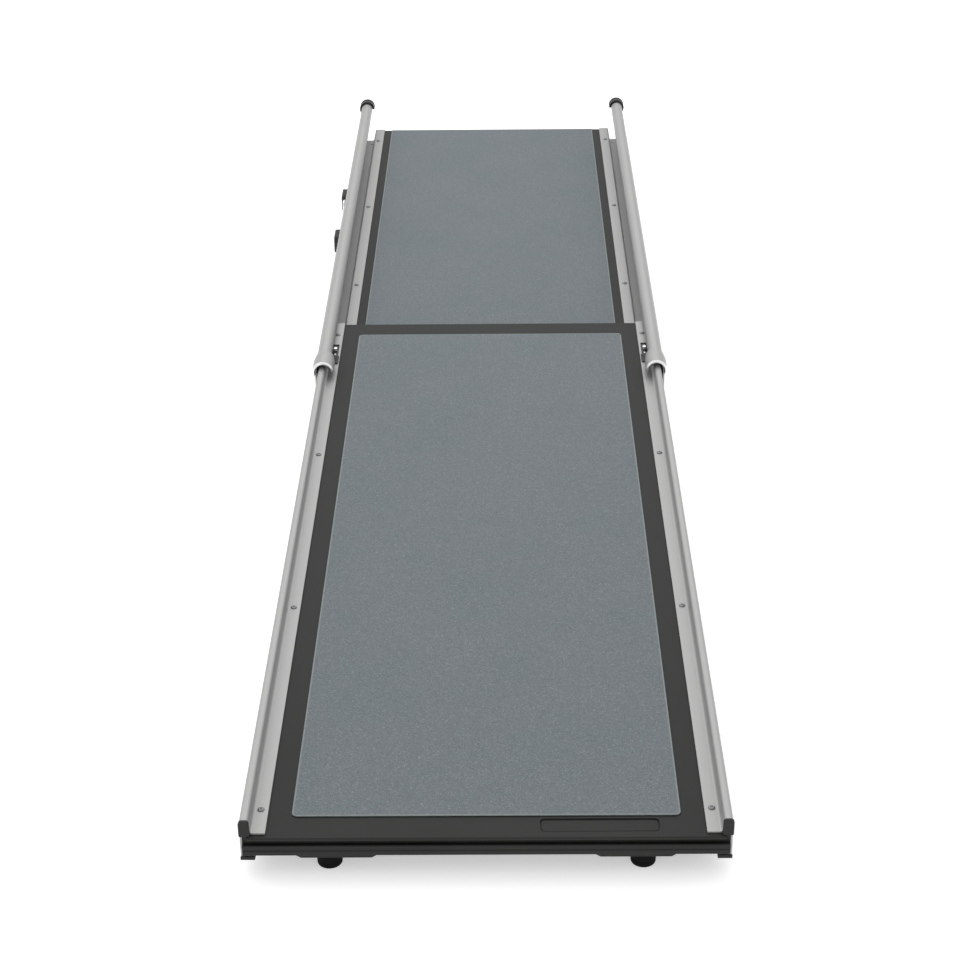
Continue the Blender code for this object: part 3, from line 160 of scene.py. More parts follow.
# Locks
WINDOW_NEAR = 0.0410
WINDOW_FAR = 0.0230
WINDOW_HALF = 0.0050
WINDOW_CORNER = 0.0010
BEZEL_DEPTH = 0.0010
BEZEL_WALL = 0.0010
BEZEL_SLEEVE = 0.0042
BEZEL_EDGE = 0.0002
TAB_NEAR = 0.0430
TAB_FAR = 0.0180
TAB_HALF = 0.0068
TAB_EDGE = 0.0007
TAB_GROOVES = 6
TAB_GROOVE_RADIUS = 0.0012
TAB_GROOVE_RISE = 0.0004     # groove's centre over the tab
PIN_RADIUS = 0.0025
PIN_HEAD = 0.0028            # head's thickness
PIN_ROLL = 0.0012
PIN_TIP = 0.0010
PIN_DOME = ((0, 0), (0.35, 0.0001), (0.62, 0.0005))                       # share of the head, drop
LOCK_SCREW_DOME = ((0, 0), (0.50, 0.0001), (0.85, 0.0004), (1, 0.0010))   # share of the head, drop
LOCK_SCREW_RECESS = 0.0005

# Rivets, foot screws and feet
RIVETS = 4                   # along each flange
RIVET_HEAD = 0.0035
RIVET_CROWN = 0.92           # share of the head's rise that its dome takes
RIVET_DOME = (0.50, 0.75, 1.00, 1.25, 1.45)                               # radians down from the crown
RIVET_DIMPLE = ((0, 0.0007), (0.00088, 0.0006), (0.0011, 0.0001), (0.0014, 0))   # radius, drop
CROSS_REACH = 0.60           # shares of the screw's head
CROSS_HALF = 0.17
SCREW_SHANK = 0.0020
SCREW_TIP = 0.0010
SCREW_HEAD = 0.0020
SCREW_HEAD_ROUND = 0.0008
FOOT_SCREW_RECESS = 0.0009
FOOT_BORE = 0.0060
FOOT_BORE_DEPTHS = {"lower": 0.0140, "upper": 0.0028}
FOOT_EDGE = 0.0004
FOOT_ROUND = 0.0018
FOOT_RING = (0.0064, 0.0060, 0.0054, 0.0050)   # heights of the groove's corners
RINGED_FOOT = 0.0100         # feet higher than this have the groove

# Collars, tube caps and travel stops
COLLAR_RADIUS = 0.0149
COLLAR_INSET = 0.0016
COLLAR_RISE = 0.0010
COLLAR_LIP = 0.0032
COLLAR_MOUTH = 0.0160
COLLAR_MOUTH_EDGE = 0.0008
COLLAR_BODY = 0.0280
COLLAR_SHOULDER = (0.0004, 0.0024)   # drop and length
COLLAR_TAIL = 0.0131
COLLAR_ROUND = 0.0012
COLLAR_SAG = 0.0010          # mouth's axis, under the collar's
COLLAR_BEVEL = 0.0022        # cut rim round the mouth
HIGHLIGHT_FACING = -0.3            # the cut rim's faces that turn at least this far down the ramp get the lighter metal, a painted highlight
CAP_ROUND = 0.0018
CAP_DISC = 0.0030
CAP_MOUTH_EDGE = 0.0006
CAP_GROOVE = (-0.0036, -0.0044, -0.0054, -0.0062)   # from the tube's end
CAP_GROOVE_DEPTH = 0.0008
STOP_DOME = ((0, 0), (0.60, 0), (0.90, 0.0006))     # share of the head, drop
STOP_SHANK = 0.0022
STOP_BOSS = 0.0040
STOP_BOSS_LENGTH = 0.0028
STOP_EDGE = 0.0004
STOP_SOCKET = 0.0018
STOP_SOCKET_DEPTH = 0.0012
STOP_SOCKET_TIP = 0.0014

# Carry handle
BRACKET_CORNER = 0.0060
BRACKET_ROUND = 0.0022
BAIL_RADIUS = 0.0025
BAIL_SHOULDER = 0.0100
BAIL_BEND = 0.0080
BAIL_TRUNNION = 0.0140
GRIP_RINGS = 72
GRIP_POINTS = 32             # round each ring
GRIP_FINGERS = 4
GRIP_HOLLOW = 0.09           # depth of a finger's hollow, as a share of the thickness
GRIP_END = 0.06              # rounded share of each half
GRIP_END_DROP = 0.35
GRIP_SQUARENESS = 0.8        # 1 is an ellipse, less is squarer


def middle(node):
    """Middle of a node's box."""
    low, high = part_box(node)
    return (low + high) / 2


def across(low, high):
    """A box's inner and outer distances from the ramp's middle plane."""
    return sorted((abs(low.x), abs(high.x)))


# Places that several pieces share, from the frame
rail_low, rail_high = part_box("lower_rail_right")
channel_low, channel_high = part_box("upper_rail_right")
deck_low, deck_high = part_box("lower_deck")
upper_deck_low, upper_deck_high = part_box("upper_deck")
PIN = middle("lock_pin_right")
HALF_WIDTH = rail_high.x
DECK_Z = rail_high.z - RIB_HEIGHT
LIP_BASE = rail_low.z
LOWER_FRONT = rail_low.y
LOWER_REAR = rail_high.y
WALL_OUTER = channel_high.x
STEP_X = channel_low.x + UPPER_FLANGE
INBOARD = STEP_X - UPPER_FLANGE
CHANNEL_FLOOR = channel_low.z + WALL
UPPER_FLANGE_Z = upper_deck_high.z + GAP + WALL
TUBE_X = WALL_OUTER - TUBE_RADIUS
TUBE_Z = channel_high.z - TUBE_RADIUS
TUBE_BORE = TUBE_RADIUS + GAP
UPPER_NEAR = channel_low.y
UPPER_FAR = channel_high.y


# Camera, light and floor

def make_camera():
    """The camera at the photograph's place and angle."""
    pitch, yaw, roll = (math.radians(angle) for angle in (CAMERA_PITCH, CAMERA_YAW, CAMERA_ROLL))
    turn = Matrix.Rotation(yaw, 3, "Z")
    forward = turn @ Vector((0, math.cos(pitch), -math.sin(pitch)))
    level_up = turn @ Vector((0, math.sin(pitch), math.cos(pitch)))
    level_right = turn @ Vector((1, 0, 0))
    right = math.cos(roll) * level_right + math.sin(roll) * level_up
    up = math.cos(roll) * level_up - math.sin(roll) * level_right
    axes = Matrix((right, up, -forward)).transposed()
    data = bpy.data.cameras.new("camera")
    data.sensor_width = SENSOR
    data.lens = FOCAL_LENGTH / IMAGE_SIZE * SENSOR
    data.clip_start = CLIP_START
    data.clip_end = CLIP_END
    camera = bpy.data.objects.new("camera", data)
    seat = Vector((CAMERA_X, LOWER_FRONT - CAMERA_BACK, DECK_Z + CAMERA_RISE))
    camera.matrix_world = Matrix.Translation(seat) @ axes.to_4x4()
    bpy.context.scene.collection.objects.link(camera)
    bpy.context.scene.camera = camera


def area_light(name, place, target, size, power):
    """A square soft light that points at its target."""
    data = bpy.data.lights.new(name, "AREA")
    data.shape = "SQUARE"
    data.size = size
    data.energy = power
    light = bpy.data.objects.new(name, data)
    light.location = place
    light.rotation_mode = "QUATERNION"
    light.rotation_quaternion = (Vector(target) - Vector(place)).to_track_quat("-Z", "Y")
    bpy.context.scene.collection.objects.link(light)


def make_studio():
    """Pale world, three soft lights and a pale floor."""
    world = bpy.data.worlds.new("studio")
    world.use_nodes = True
    background = world.node_tree.nodes["Background"]
    background.inputs["Color"].default_value = (1, 1, 1, 1)
    background.inputs["Strength"].default_value = WORLD_STRENGTH
    bpy.context.scene.world = world
    bpy.context.scene.view_settings.view_transform = "Standard"
    for name, (place, target, size, power) in LIGHTS.items():
        area_light(name, place, target, size, power)
    form = bmesh.new()
    bmesh.ops.create_grid(form, x_segments=1, y_segments=1, size=FLOOR_HALF)
    floor = solid("floor", form)
    floor.data.materials.append(floor_finish())


# Outlines

STRAIGHT = 0.01              # radians off straight that count as a corner
CORNER_SHARE = 0.49          # of a side, that one corner's arc may take


def arc(centre, radius, start, end, steps):
    """Points along an arc, from start to end in degrees."""
    points = []
    for i in range(steps + 1):
        angle = math.radians(start + (end - start) * i / steps)
        points.append((centre[0] + radius * math.cos(angle), centre[1] + radius * math.sin(angle)))
    return points


def round_corner(before, corner, after, radius, steps):
    """Points of the arc that rounds one corner."""
    to_before = (before - corner).normalized()
    to_after = (after - corner).normalized()
    half = to_before.angle(to_after) / 2
    if radius <= 0 or math.pi / 2 - half < STRAIGHT:
        return [tuple(corner)]
    shorter = min((before - corner).length, (after - corner).length)
    reach = min(radius / math.tan(half), CORNER_SHARE * shorter)
    radius = reach * math.tan(half)
    centre = corner + (to_before + to_after).normalized() * (radius / math.sin(half))
    first = corner + to_before * reach - centre
    last = corner + to_after * reach - centre
    turn = math.atan2(first.x * last.y - first.y * last.x, first.dot(last))
    start = math.atan2(first.y, first.x)
    return arc(centre, radius, math.degrees(start), math.degrees(start + turn), steps)


def rounded(points, radii, steps=6, closed=True):
    """An outline, or an open path, with its corners rounded."""
    corners = [Vector(p) for p in points]
    count = len(corners)
    result = []
    for i, corner in enumerate(corners):
        if not closed and i in (0, count - 1):
            result.append(tuple(corner))
        else:
            result += round_corner(corners[i - 1], corner, corners[(i + 1) % count], radii[i], steps)
    return result


def rounded_box(x0, x1, y0, y1, radius, steps=6):
    """A rectangle with rounded corners."""
    return rounded([(x0, y0), (x1, y0), (x1, y1), (x0, y1)], [radius] * 4, steps)


def strip(path, thickness):
    """The outline of a bent sheet whose middle follows an open path."""
    points = [Vector(p) for p in path]
    left, right = [], []
    for i, point in enumerate(points):
        into = (point - points[i - 1]).normalized() if i else None
        out = (points[i + 1] - point).normalized() if i + 1 < len(points) else None
        into = into or out
        out = out or into
        along = (into + out).normalized()
        offset = Vector((-along.y, along.x)) * (thickness / 2 / along.dot(into))
        left.append(tuple(point + offset))
        right.append(tuple(point - offset))
    return left + right[::-1]


def on_side(points, side):
    """An outline drawn on the right, taken to the given side."""
    return [(side * x, y) for x, y in points]


# Meshes

PLANES = {
    "X": (Vector((0, 1, 0)), Vector((0, 0, 1)), Vector((1, 0, 0))),
    "Y": (Vector((1, 0, 0)), Vector((0, 0, 1)), Vector((0, 1, 0))),
    "Z": (Vector((1, 0, 0)), Vector((0, 1, 0)), Vector((0, 0, 1))),
}
SAME_POINT = 0.000001
SHARP = 38                   # degrees between faces that keep a sharp edge


def solid(name, form):
    """A mesh object from a bmesh, which is freed."""
    bmesh.ops.recalc_face_normals(form, faces=form.faces)
    mesh = bpy.data.meshes.new(name)
    form.to_mesh(mesh)
    form.free()
    obj = bpy.data.objects.new(name, mesh)
    bpy.context.scene.collection.objects.link(obj)
    return obj


def add_prism(form, outline, axis, start, end):
    """Add a prism to a bmesh: a flat outline, drawn along an axis."""
    across_axis, up, along = PLANES[axis]
    face = form.faces.new([form.verts.new(across_axis * u + up * v + along * start) for u, v in outline])
    grown = bmesh.ops.extrude_face_region(form, geom=[face])["geom"]
    ends = [item for item in grown if isinstance(item, bmesh.types.BMVert)]
    bmesh.ops.translate(form, verts=ends, vec=along * (end - start))


def prism(name, outline, axis, start, end):
    """A flat outline drawn along an axis."""
    form = bmesh.new()
    add_prism(form, outline, axis, start, end)
    return solid(name, form)


def block(name, low, high):
    """A box between two corners, which may be given in any order."""
    (x0, x1), (y0, y1), (z0, z1) = [sorted(pair) for pair in zip(low, high)]
    return prism(name, [(x0, y0), (x1, y0), (x1, y1), (x0, y1)], "Z", z0, z1)


def turned(name, profile, world, steps=64):
    """Revolve a profile of (radius, height) points about its own Z axis."""
    form = bmesh.new()
    verts = [form.verts.new((radius, 0, height)) for radius, height in profile]
    edges = [form.edges.new(pair) for pair in zip(verts, verts[1:])]
    bmesh.ops.spin(form, geom=verts + edges, cent=(0, 0, 0), axis=(0, 0, 1), angle=2 * math.pi,
                   steps=steps, use_merge=True)
    bmesh.ops.remove_doubles(form, verts=form.verts, dist=SAME_POINT)
    bmesh.ops.dissolve_degenerate(form, edges=form.edges, dist=SAME_POINT / 2)
    form.transform(world)
    return solid(name, form)


def rod(name, radius, start, end, world, steps=32):
    """A plain round bar along its own Z axis, for a boss or a bore."""
    return turned(name, [(0, start), (radius, start), (radius, end), (0, end)], world, steps)


def upright(node):
    """The matrix of an upright turned piece, at the foot of its node's box."""
    low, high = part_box(node)
    return Matrix.Translation(((low.x + high.x) / 2, (low.y + high.y) / 2, low.z))


def along_ramp(x, y, z):
    """A place whose Z axis runs up the ramp."""
    return Matrix.Translation((x, y, z)) @ Matrix.Rotation(-math.pi / 2, 4, "X")


def settle(obj):
    """Apply an object's modifiers."""
    depsgraph = bpy.context.evaluated_depsgraph_get()
    mesh = bpy.data.meshes.new_from_object(obj.evaluated_get(depsgraph))
    obj.modifiers.clear()
    obj.data = mesh
    return obj


def carve(obj, tool, operation="DIFFERENCE"):
    """Cut an object with a tool, or join the tool to it, and remove the tool."""
    modifier = obj.modifiers.new("carve", "BOOLEAN")
    modifier.operation = operation
    modifier.solver = "EXACT"
    modifier.object = tool
    settle(obj)
    bpy.data.objects.remove(tool, do_unlink=True)
    return obj


def soften(obj, width, segments=2, angle=35):
    """Round an object's edges that are sharper than an angle in degrees."""
    modifier = obj.modifiers.new("edges", "BEVEL")
    modifier.width = width
    modifier.segments = segments
    modifier.limit_method = "ANGLE"
    modifier.angle_limit = math.radians(angle)
    return settle(obj)


def dress(obj, node, *finishes):
    """Finish a piece: materials, shading, and its place on the frame."""
    obj.name = node + "_shell"
    obj.data.materials.clear()
    for finish in finishes:
        obj.data.materials.append(finish)
    obj.data.shade_smooth()
    obj.data.set_sharp_from_angle(angle=math.radians(SHARP))
    normals = obj.modifiers.new("normals", "WEIGHTED_NORMAL")
    normals.keep_sharp = True
    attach(obj, frame["nodes"][node]["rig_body"])
    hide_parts(node)
    return obj


# Materials

def shade(tree, kind, settings=None, **inputs):
    """Add a shader node.  An input is a value, or an output to link."""
    made = tree.nodes.new("ShaderNode" + kind)
    for key, value in (settings or {}).items():
        setattr(made, key, value)
    for key, value in inputs.items():
        socket = made.inputs[key.replace("_", " ")]
        if isinstance(value, bpy.types.NodeSocket):
            tree.links.new(value, socket)
        else:
            socket.default_value = value
    return made


def new_finish(name, roughness, metallic=0.0):
    """A Principled material and its node tree and shader."""
    material = bpy.data.materials.new(name)
    material.use_nodes = True
    shader = material.node_tree.nodes["Principled BSDF"]
    shader.inputs["Roughness"].default_value = roughness
    shader.inputs["Metallic"].default_value = metallic
    return material, material.node_tree, shader


def object_space(tree, stretch=(1, 1, 1)):
    """Object coordinates, stretched along each axis."""
    coordinates = shade(tree, "TexCoord")
    return shade(tree, "Mapping", Vector=coordinates.outputs["Object"], Scale=stretch).outputs["Vector"]


def noise(tree, where, scale, detail=2.0, roughness=0.5):
    """Noise from 0 to 1."""
    made = shade(tree, "TexNoise", Vector=where, Scale=scale, Detail=detail, Roughness=roughness)
    return made.outputs["Fac"]


def ramp(tree, value, stops):
    """Colours along a value: (position, colour) pairs."""
    made = shade(tree, "ValToRGB", Fac=value)
    elements = made.color_ramp.elements
    while len(elements) < len(stops):
        elements.new(0.5)
    for element, (position, colour) in zip(elements, stops):
        element.position = position
        element.color = (*colour, 1)
    return made.outputs["Color"]


def spread(tree, value, low, high):
    """A value from 0 to 1, taken to a range."""
    made = shade(tree, "MapRange", Value=value, To_Min=low, To_Max=high)
    return made.outputs["Result"]


def add_product(tree, value, factor, added):
    """A value times a factor, plus another value."""
    made = shade(tree, "Math", {"operation": "MULTIPLY_ADD"})
    tree.links.new(value, made.inputs[0])
    made.inputs[1].default_value = factor
    tree.links.new(added, made.inputs[2])
    return made.outputs["Value"]


def bump(tree, shader, height, strength, distance):
    """Give a shader relief from a height."""
    made = shade(tree, "Bump", Height=height, Strength=strength, Distance=distance)
    tree.links.new(made.outputs["Normal"], shader.inputs["Normal"])


def grey(value, tint=(1, 1, 1)):
    """A grey with a slight tint."""
    return tuple(value * part for part in tint)


def floor_finish():
    """Pale floor with a faint mottle, lit a little from within like a light table."""
    material, tree, shader = new_finish("floor_paint", 0.9)
    mottle = noise(tree, object_space(tree), 3.0)
    colour = ramp(tree, mottle, [(0.3, grey(0.78)), (0.7, grey(0.80))])
    tree.links.new(colour, shader.inputs["Base Color"])
    shader.inputs["Specular IOR Level"].default_value = 0.1
    shader.inputs["Emission Color"].default_value = (1, 1, 1, 1)
    shader.inputs["Emission Strength"].default_value = FLOOR_GLOW
    material.cycles.emission_sampling = "NONE"
    return material


def aluminium_finish():
    """Satin extruded aluminium: fine drawn lines along the ramp over a soft mottle."""
    material, tree, shader = new_finish("satin_aluminium", 0.5, metallic=0.72)
    lines = noise(tree, object_space(tree, (1, 0.006, 1)), 1500, 3.0, 0.6)
    cloud = noise(tree, object_space(tree, (1, 0.35, 1)), 16, 3.0)
    mixed = add_product(tree, lines, 0.45, spread(tree, cloud, 0.1, 0.5))
    warm = (1, 1, 0.99)
    colour = ramp(tree, mixed, [(0.2, grey(0.37, warm)), (0.8, grey(0.43, warm))])
    tree.links.new(colour, shader.inputs["Base Color"])
    tree.links.new(spread(tree, mixed, 0.46, 0.58), shader.inputs["Roughness"])
    bump(tree, shader, lines, strength=0.08, distance=0.0002)
    return material


def metal_finish(name, dark, light, roughness):
    """Plain metal with faint spots: zinc-plated steel, a cut rim lightened as a painted highlight, or a dull
    rivet.
    """
    material, tree, shader = new_finish(name, sum(roughness) / 2, metallic=1.0)
    spots = noise(tree, object_space(tree), 900)
    tree.links.new(ramp(tree, spots, [(0.3, grey(dark)), (0.7, grey(light))]), shader.inputs["Base Color"])
    tree.links.new(spread(tree, spots, *roughness), shader.inputs["Roughness"])
    bump(tree, shader, spots, strength=0.05, distance=0.0001)
    return material


def moulded_finish(name, dark, light, roughness, grain, gloss=0.5):
    """Moulded plastic with a fine spark-eroded grain."""
    material, tree, shader = new_finish(name, sum(roughness) / 2)
    shader.inputs["Specular IOR Level"].default_value = gloss
    where = object_space(tree)
    pits = shade(tree, "TexVoronoi", {"feature": "SMOOTH_F1"}, Vector=where, Scale=grain).outputs["Distance"]
    cloud = noise(tree, where, 14, 4.0, 0.6)
    tree.links.new(ramp(tree, cloud, [(0.3, dark), (0.7, light)]), shader.inputs["Base Color"])
    tree.links.new(spread(tree, cloud, *roughness), shader.inputs["Roughness"])
    bump(tree, shader, pits, strength=0.35, distance=0.0002)
    return material


def rubber_finish():
    """Matt black rubber, slightly dusty."""
    material, tree, shader = new_finish("black_rubber", 0.7)
    cloud = noise(tree, object_space(tree), 120, 4.0, 0.7)
    tree.links.new(ramp(tree, cloud, [(0.3, grey(0.002)), (0.8, grey(0.006))]), shader.inputs["Base Color"])
    shader.inputs["Specular IOR Level"].default_value = 0.1
    tree.links.new(spread(tree, cloud, 0.55, 0.8), shader.inputs["Roughness"])
    bump(tree, shader, noise(tree, object_space(tree), 1400), strength=0.25, distance=0.0002)
    return material


def grit_finish():
    """Speckled mineral grit bonded to a blue-grey sheet."""
    material, tree, shader = new_finish("grey_grit", 0.92)
    where = object_space(tree)
    grains = shade(tree, "TexVoronoi", {"feature": "F1"}, Vector=where, Scale=1000)
    tone = shade(tree, "SeparateColor", Color=grains.outputs["Color"]).outputs["Red"]
    speckle = ramp(tree, tone, [
        (0.00, (0.110, 0.125, 0.133)),
        (0.25, (0.136, 0.154, 0.163)),
        (0.70, (0.160, 0.180, 0.190)),
        (0.93, (0.184, 0.205, 0.214)),
        (1.00, (0.250, 0.270, 0.276)),
    ])
    cloud = noise(tree, where, 9, 3.0, 0.6)
    tint = ramp(tree, cloud, [(0.3, (0.94, 0.98, 0.99)), (0.7, (1.02, 1.01, 1.03))])
    mixed = shade(tree, "Mix", {"data_type": "RGBA", "blend_type": "MULTIPLY"})
    mixed.inputs[0].default_value = 1.0
    tree.links.new(speckle, mixed.inputs[6])
    tree.links.new(tint, mixed.inputs[7])
    tree.links.new(mixed.outputs[2], shader.inputs["Base Color"])
    tree.links.new(spread(tree, tone, 0.80, 1.0), shader.inputs["Roughness"])
    relief = add_product(tree, grains.outputs["Distance"], -1.0, noise(tree, where, 1500))
    bump(tree, shader, relief, strength=0.45, distance=0.0004)
    return material


def rim_finish():
    """Smooth lighter border of a grip sheet."""
    material, tree, shader = new_finish("sheet_rim", 0.6)
    cloud = noise(tree, object_space(tree), 260, 3.0)
    colour = ramp(tree, cloud, [(0.3, (0.165, 0.186, 0.192)), (0.7, (0.210, 0.233, 0.238))])
    tree.links.new(colour, shader.inputs["Base Color"])
    bump(tree, shader, cloud, strength=0.15, distance=0.0002)
    return material


ALUMINIUM = aluminium_finish()
STEEL = metal_finish("bright_steel", dark=0.66, light=0.80, roughness=(0.16, 0.30))
# Near-white metal for the collar's cut rim: a painted highlight, far brighter than the aluminium round it
RIM_HIGHLIGHT_METAL = metal_finish("rim_highlight_aluminium", dark=0.86, light=0.94, roughness=(0.30, 0.40))
RIVET = metal_finish("dull_rivet", dark=0.20, light=0.28, roughness=(0.42, 0.55))
LOCK = moulded_finish("lock_plastic", dark=(0.040, 0.041, 0.040), light=(0.060, 0.061, 0.059),
                      roughness=(0.45, 0.55), grain=1700, gloss=0.40)
DECK = moulded_finish("deck_plastic", dark=(0.019, 0.020, 0.018), light=(0.026, 0.027, 0.025),
                      roughness=(0.52, 0.64), grain=1500, gloss=0.20)
BLACK = moulded_finish("cap_plastic", dark=(0.009, 0.009, 0.0085), light=(0.014, 0.014, 0.013),
                       roughness=(0.38, 0.50), grain=1700, gloss=0.28)
SOFT_BLACK = moulded_finish("grip_plastic", dark=grey(0.010), light=grey(0.018),
                            roughness=(0.6, 0.7), grain=800)
RUBBER = rubber_finish()
GRIT = grit_finish()
RIM = rim_finish()


# Rails

def lower_rail(word, side):
    """Lower rail: deck flange, hollow rib, outer wall and foot lip."""
    half = WALL / 2
    outer = HALF_WIDTH - half
    top = DECK_Z + RIB_HEIGHT - half
    points = [
        (HALF_WIDTH - LOWER_FLANGE, DECK_Z - half),
        (HALF_WIDTH - RIB_FOOT + half, DECK_Z - half),
        (HALF_WIDTH - RIB_TOP + half, top),
        (outer, top),
        (outer, LIP_BASE + half),
        (HALF_WIDTH - LOWER_LIP, LIP_BASE + half),
    ]
    path = rounded(points, [0, RIB_FILLET, RIB_BEND, RIB_BEND, BEND, 0], steps=10, closed=False)
    rail = prism("rail", on_side(strip(path, WALL), side), "Y", LOWER_FRONT, LOWER_REAR)
    window = rounded_box(PIN.x - WINDOW_HALF, PIN.x + WINDOW_HALF, PIN.y - WINDOW_NEAR,
                         PIN.y + WINDOW_FAR, WINDOW_CORNER)
    carve(rail, prism("window", on_side(window, side), "Z", DECK_Z - 2 * WALL, DECK_Z + WALL))
    dress(soften(rail, EDGE), "lower_rail_" + word, ALUMINIUM)


def upper_rail(word, side):
    """Upper rail: deck flange, step, channel, wall and the open tube on top."""
    half = WALL / 2
    wall = WALL_OUTER - half
    floor = CHANNEL_FLOOR - half
    step = STEP_X - half
    bends = rounded([(INBOARD, UPPER_FLANGE_Z - half), (step, UPPER_FLANGE_Z - half), (step, floor),
                     (wall, floor), (wall, TUBE_Z)], [0, BEND, BEND, BEND, 0], steps=8, closed=False)
    path = bends[:-1] + arc((TUBE_X, TUBE_Z), TUBE_RADIUS - half, 0, 180, 48)
    rail = prism("rail", on_side(strip(path, WALL), side), "Y", UPPER_NEAR, UPPER_FAR)

    # The flange ends where the deck does, and the channel's floor ends short of the tube's end
    flange_far = upper_deck_high.y
    floor_far = UPPER_FAR - FLOOR_SETBACK
    floor_side = wall - half - BEND / 2
    past = UPPER_FAR + TUBE_RADIUS
    notch = rounded([(INBOARD - WALL, flange_far), (STEP_X + GAP / 2, flange_far),
                     (STEP_X + GAP / 2, floor_far), (floor_side, floor_far), (floor_side, past),
                     (INBOARD - WALL, past)], [0, 0, NOTCH_CORNER, NOTCH_CORNER, 0, 0], steps=8)
    carve(rail, prism("notch", on_side(notch, side), "Z", CHANNEL_FLOOR - 2 * WALL,
                      UPPER_FLANGE_Z + WALL))

    # The wall's lower far corner is round
    base = channel_low.z
    centre = (UPPER_FAR - WALL_CORNER, base + WALL_CORNER)
    corner = arc(centre, WALL_CORNER, -90, 0, 12)
    corner += [(past, centre[1]), (past, base - WALL), (centre[0], base - WALL)]
    carve(rail, prism("corner", corner, "X", side * (wall - 2 * BEND), side * (WALL_OUTER + WALL)))

    # One pin hole for the open ramp and one for the closed ramp
    pin = middle("lock_pin_" + word)
    for y in (pin.y, pin.y + TRAVEL):
        carve(rail, rod("hole", PIN_RADIUS + GAP, WALL, -2 * WALL,
                        Matrix.Translation((pin.x, y, CHANNEL_FLOOR)), 24))
    dress(soften(rail, EDGE), "upper_rail_" + word, ALUMINIUM)


# Decks

def pockets(deck, half_width, near, far, bottom, top, bays):
    """Cut the pockets between a deck's ribs."""
    columns, rows = bays
    width = (2 * half_width - DECK_RIB * (columns - 1)) / columns
    length = (far - near - DECK_RIB * (rows - 1)) / rows
    form = bmesh.new()
    for i in range(columns):
        for j in range(rows):
            x = -half_width + i * (width + DECK_RIB)
            y = near + j * (length + DECK_RIB)
            add_prism(form, rounded_box(x, x + width, y, y + length, POCKET_ROUND, 3), "Z", bottom, top)
    carve(deck, solid("pockets", form))


def underside(deck, section, near, far, bays):
    """Ribs under a section's deck, and a boss over each foot."""
    low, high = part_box(section + "_deck")
    pockets(deck, high.x - DECK_EDGE, near + DECK_EDGE, far - DECK_EDGE, low.z - SKIN, high.z - SKIN, bays)
    for word in SIDES:
        foot_middle = middle("%s_foot_%s" % (section, word))
        world = Matrix.Translation((foot_middle.x, foot_middle.y, 0))
        carve(deck, rod("boss", BOSS_RADIUS, high.z - SKIN / 2, low.z + BOSS_SETBACK, world), "UNION")


def label_outline(inset):
    """Outline of the label recess, drawn in by an inset."""
    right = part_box("lower_grip_sheet")[1].x - LABEL_INSET
    near = LOWER_FRONT + LABEL_FRONT
    return rounded_box(right - LABEL_WIDTH + inset, right - inset, near + inset,
                       near + LABEL_LENGTH - inset, LABEL_CORNER - inset, 8)


def lower_deck():
    """Lower deck with its rounded nose, and a label recess lined by a fine groove."""
    nose = deck_low.y
    top = deck_high.z
    corners = [
        (LOWER_REAR, top),
        (nose, top),
        (nose, top - NOSE_THICKNESS),
        (LOWER_FRONT, top - NOSE_THICKNESS),
        (LOWER_FRONT, deck_low.z),
        (LOWER_REAR, deck_low.z),
    ]
    outline = rounded(corners, [NOSE_ROUND, NOSE_ROUND, NOSE_ROUND, 0, 0, NOSE_ROUND], steps=10)
    deck = prism("deck", outline, "X", deck_low.x, deck_high.x)
    for side in SIDES.values():
        carve(deck, block("corner", (side * (HALF_WIDTH - NOSE_SIDE), nose - WALL, deck_low.z),
                          (side * HALF_WIDTH, LOWER_FRONT, DECK_Z)))
    carve(deck, prism("label", label_outline(0), "Z", top - LABEL_DEPTH, top + LABEL_DEPTH))
    soften(deck, EDGE)
    groove = prism("groove", label_outline(EDGE), "Z", top - LABEL_DEPTH - LABEL_GROOVE, top)
    carve(groove, prism("island", label_outline(EDGE + LABEL_LINE), "Z", top - 2 * SKIN, top + WALL))
    carve(deck, groove)
    underside(deck, "lower", LOWER_FRONT, LOWER_REAR, LOWER_BAYS)
    for side in SIDES.values():
        world = Matrix.Translation((side * PIN.x, PIN.y, 0))
        carve(deck, rod("sleeve_hole", BEZEL_SLEEVE + GAP, top + WALL, top - 2 * SKIN, world))
    dress(deck, "lower_deck", DECK)


def upper_deck():
    """Upper deck, under the flanges of its rails."""
    low, high = upper_deck_low, upper_deck_high
    corners = [(high.y, high.z), (low.y, high.z), (low.y, low.z), (high.y, low.z)]
    deck = prism("deck", rounded(corners, [NOSE_ROUND / 2] * 2 + [0, 0]), "X", low.x, high.x)
    soften(deck, EDGE)
    underside(deck, "upper", low.y, high.y, UPPER_BAYS)
    dress(deck, "upper_deck", DECK)


def grip_sheet(node, corner):
    """Gritted sheet with a smooth rolled border."""
    low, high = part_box(node)
    sheet = prism("sheet", rounded_box(low.x, high.x, low.y, high.y, corner, 10), "Z", low.z, high.z)
    form = bmesh.new()
    form.from_mesh(sheet.data)
    top = max(form.faces, key=lambda face: face.calc_center_median().z)
    bmesh.ops.inset_region(form, faces=[top], thickness=SHEET_RIM, depth=0)
    for face in form.faces:
        face.material_index = int(face != top)
    form.to_mesh(sheet.data)
    form.free()
    sheet.data.materials.append(GRIT)
    sheet.data.materials.append(RIM)
    soften(sheet, SHEET_EDGE, 4)
    indices = [face.material_index for face in sheet.data.polygons]
    dress(sheet, node, GRIT, RIM)
    for face, index in zip(sheet.data.polygons, indices):
        face.material_index = index


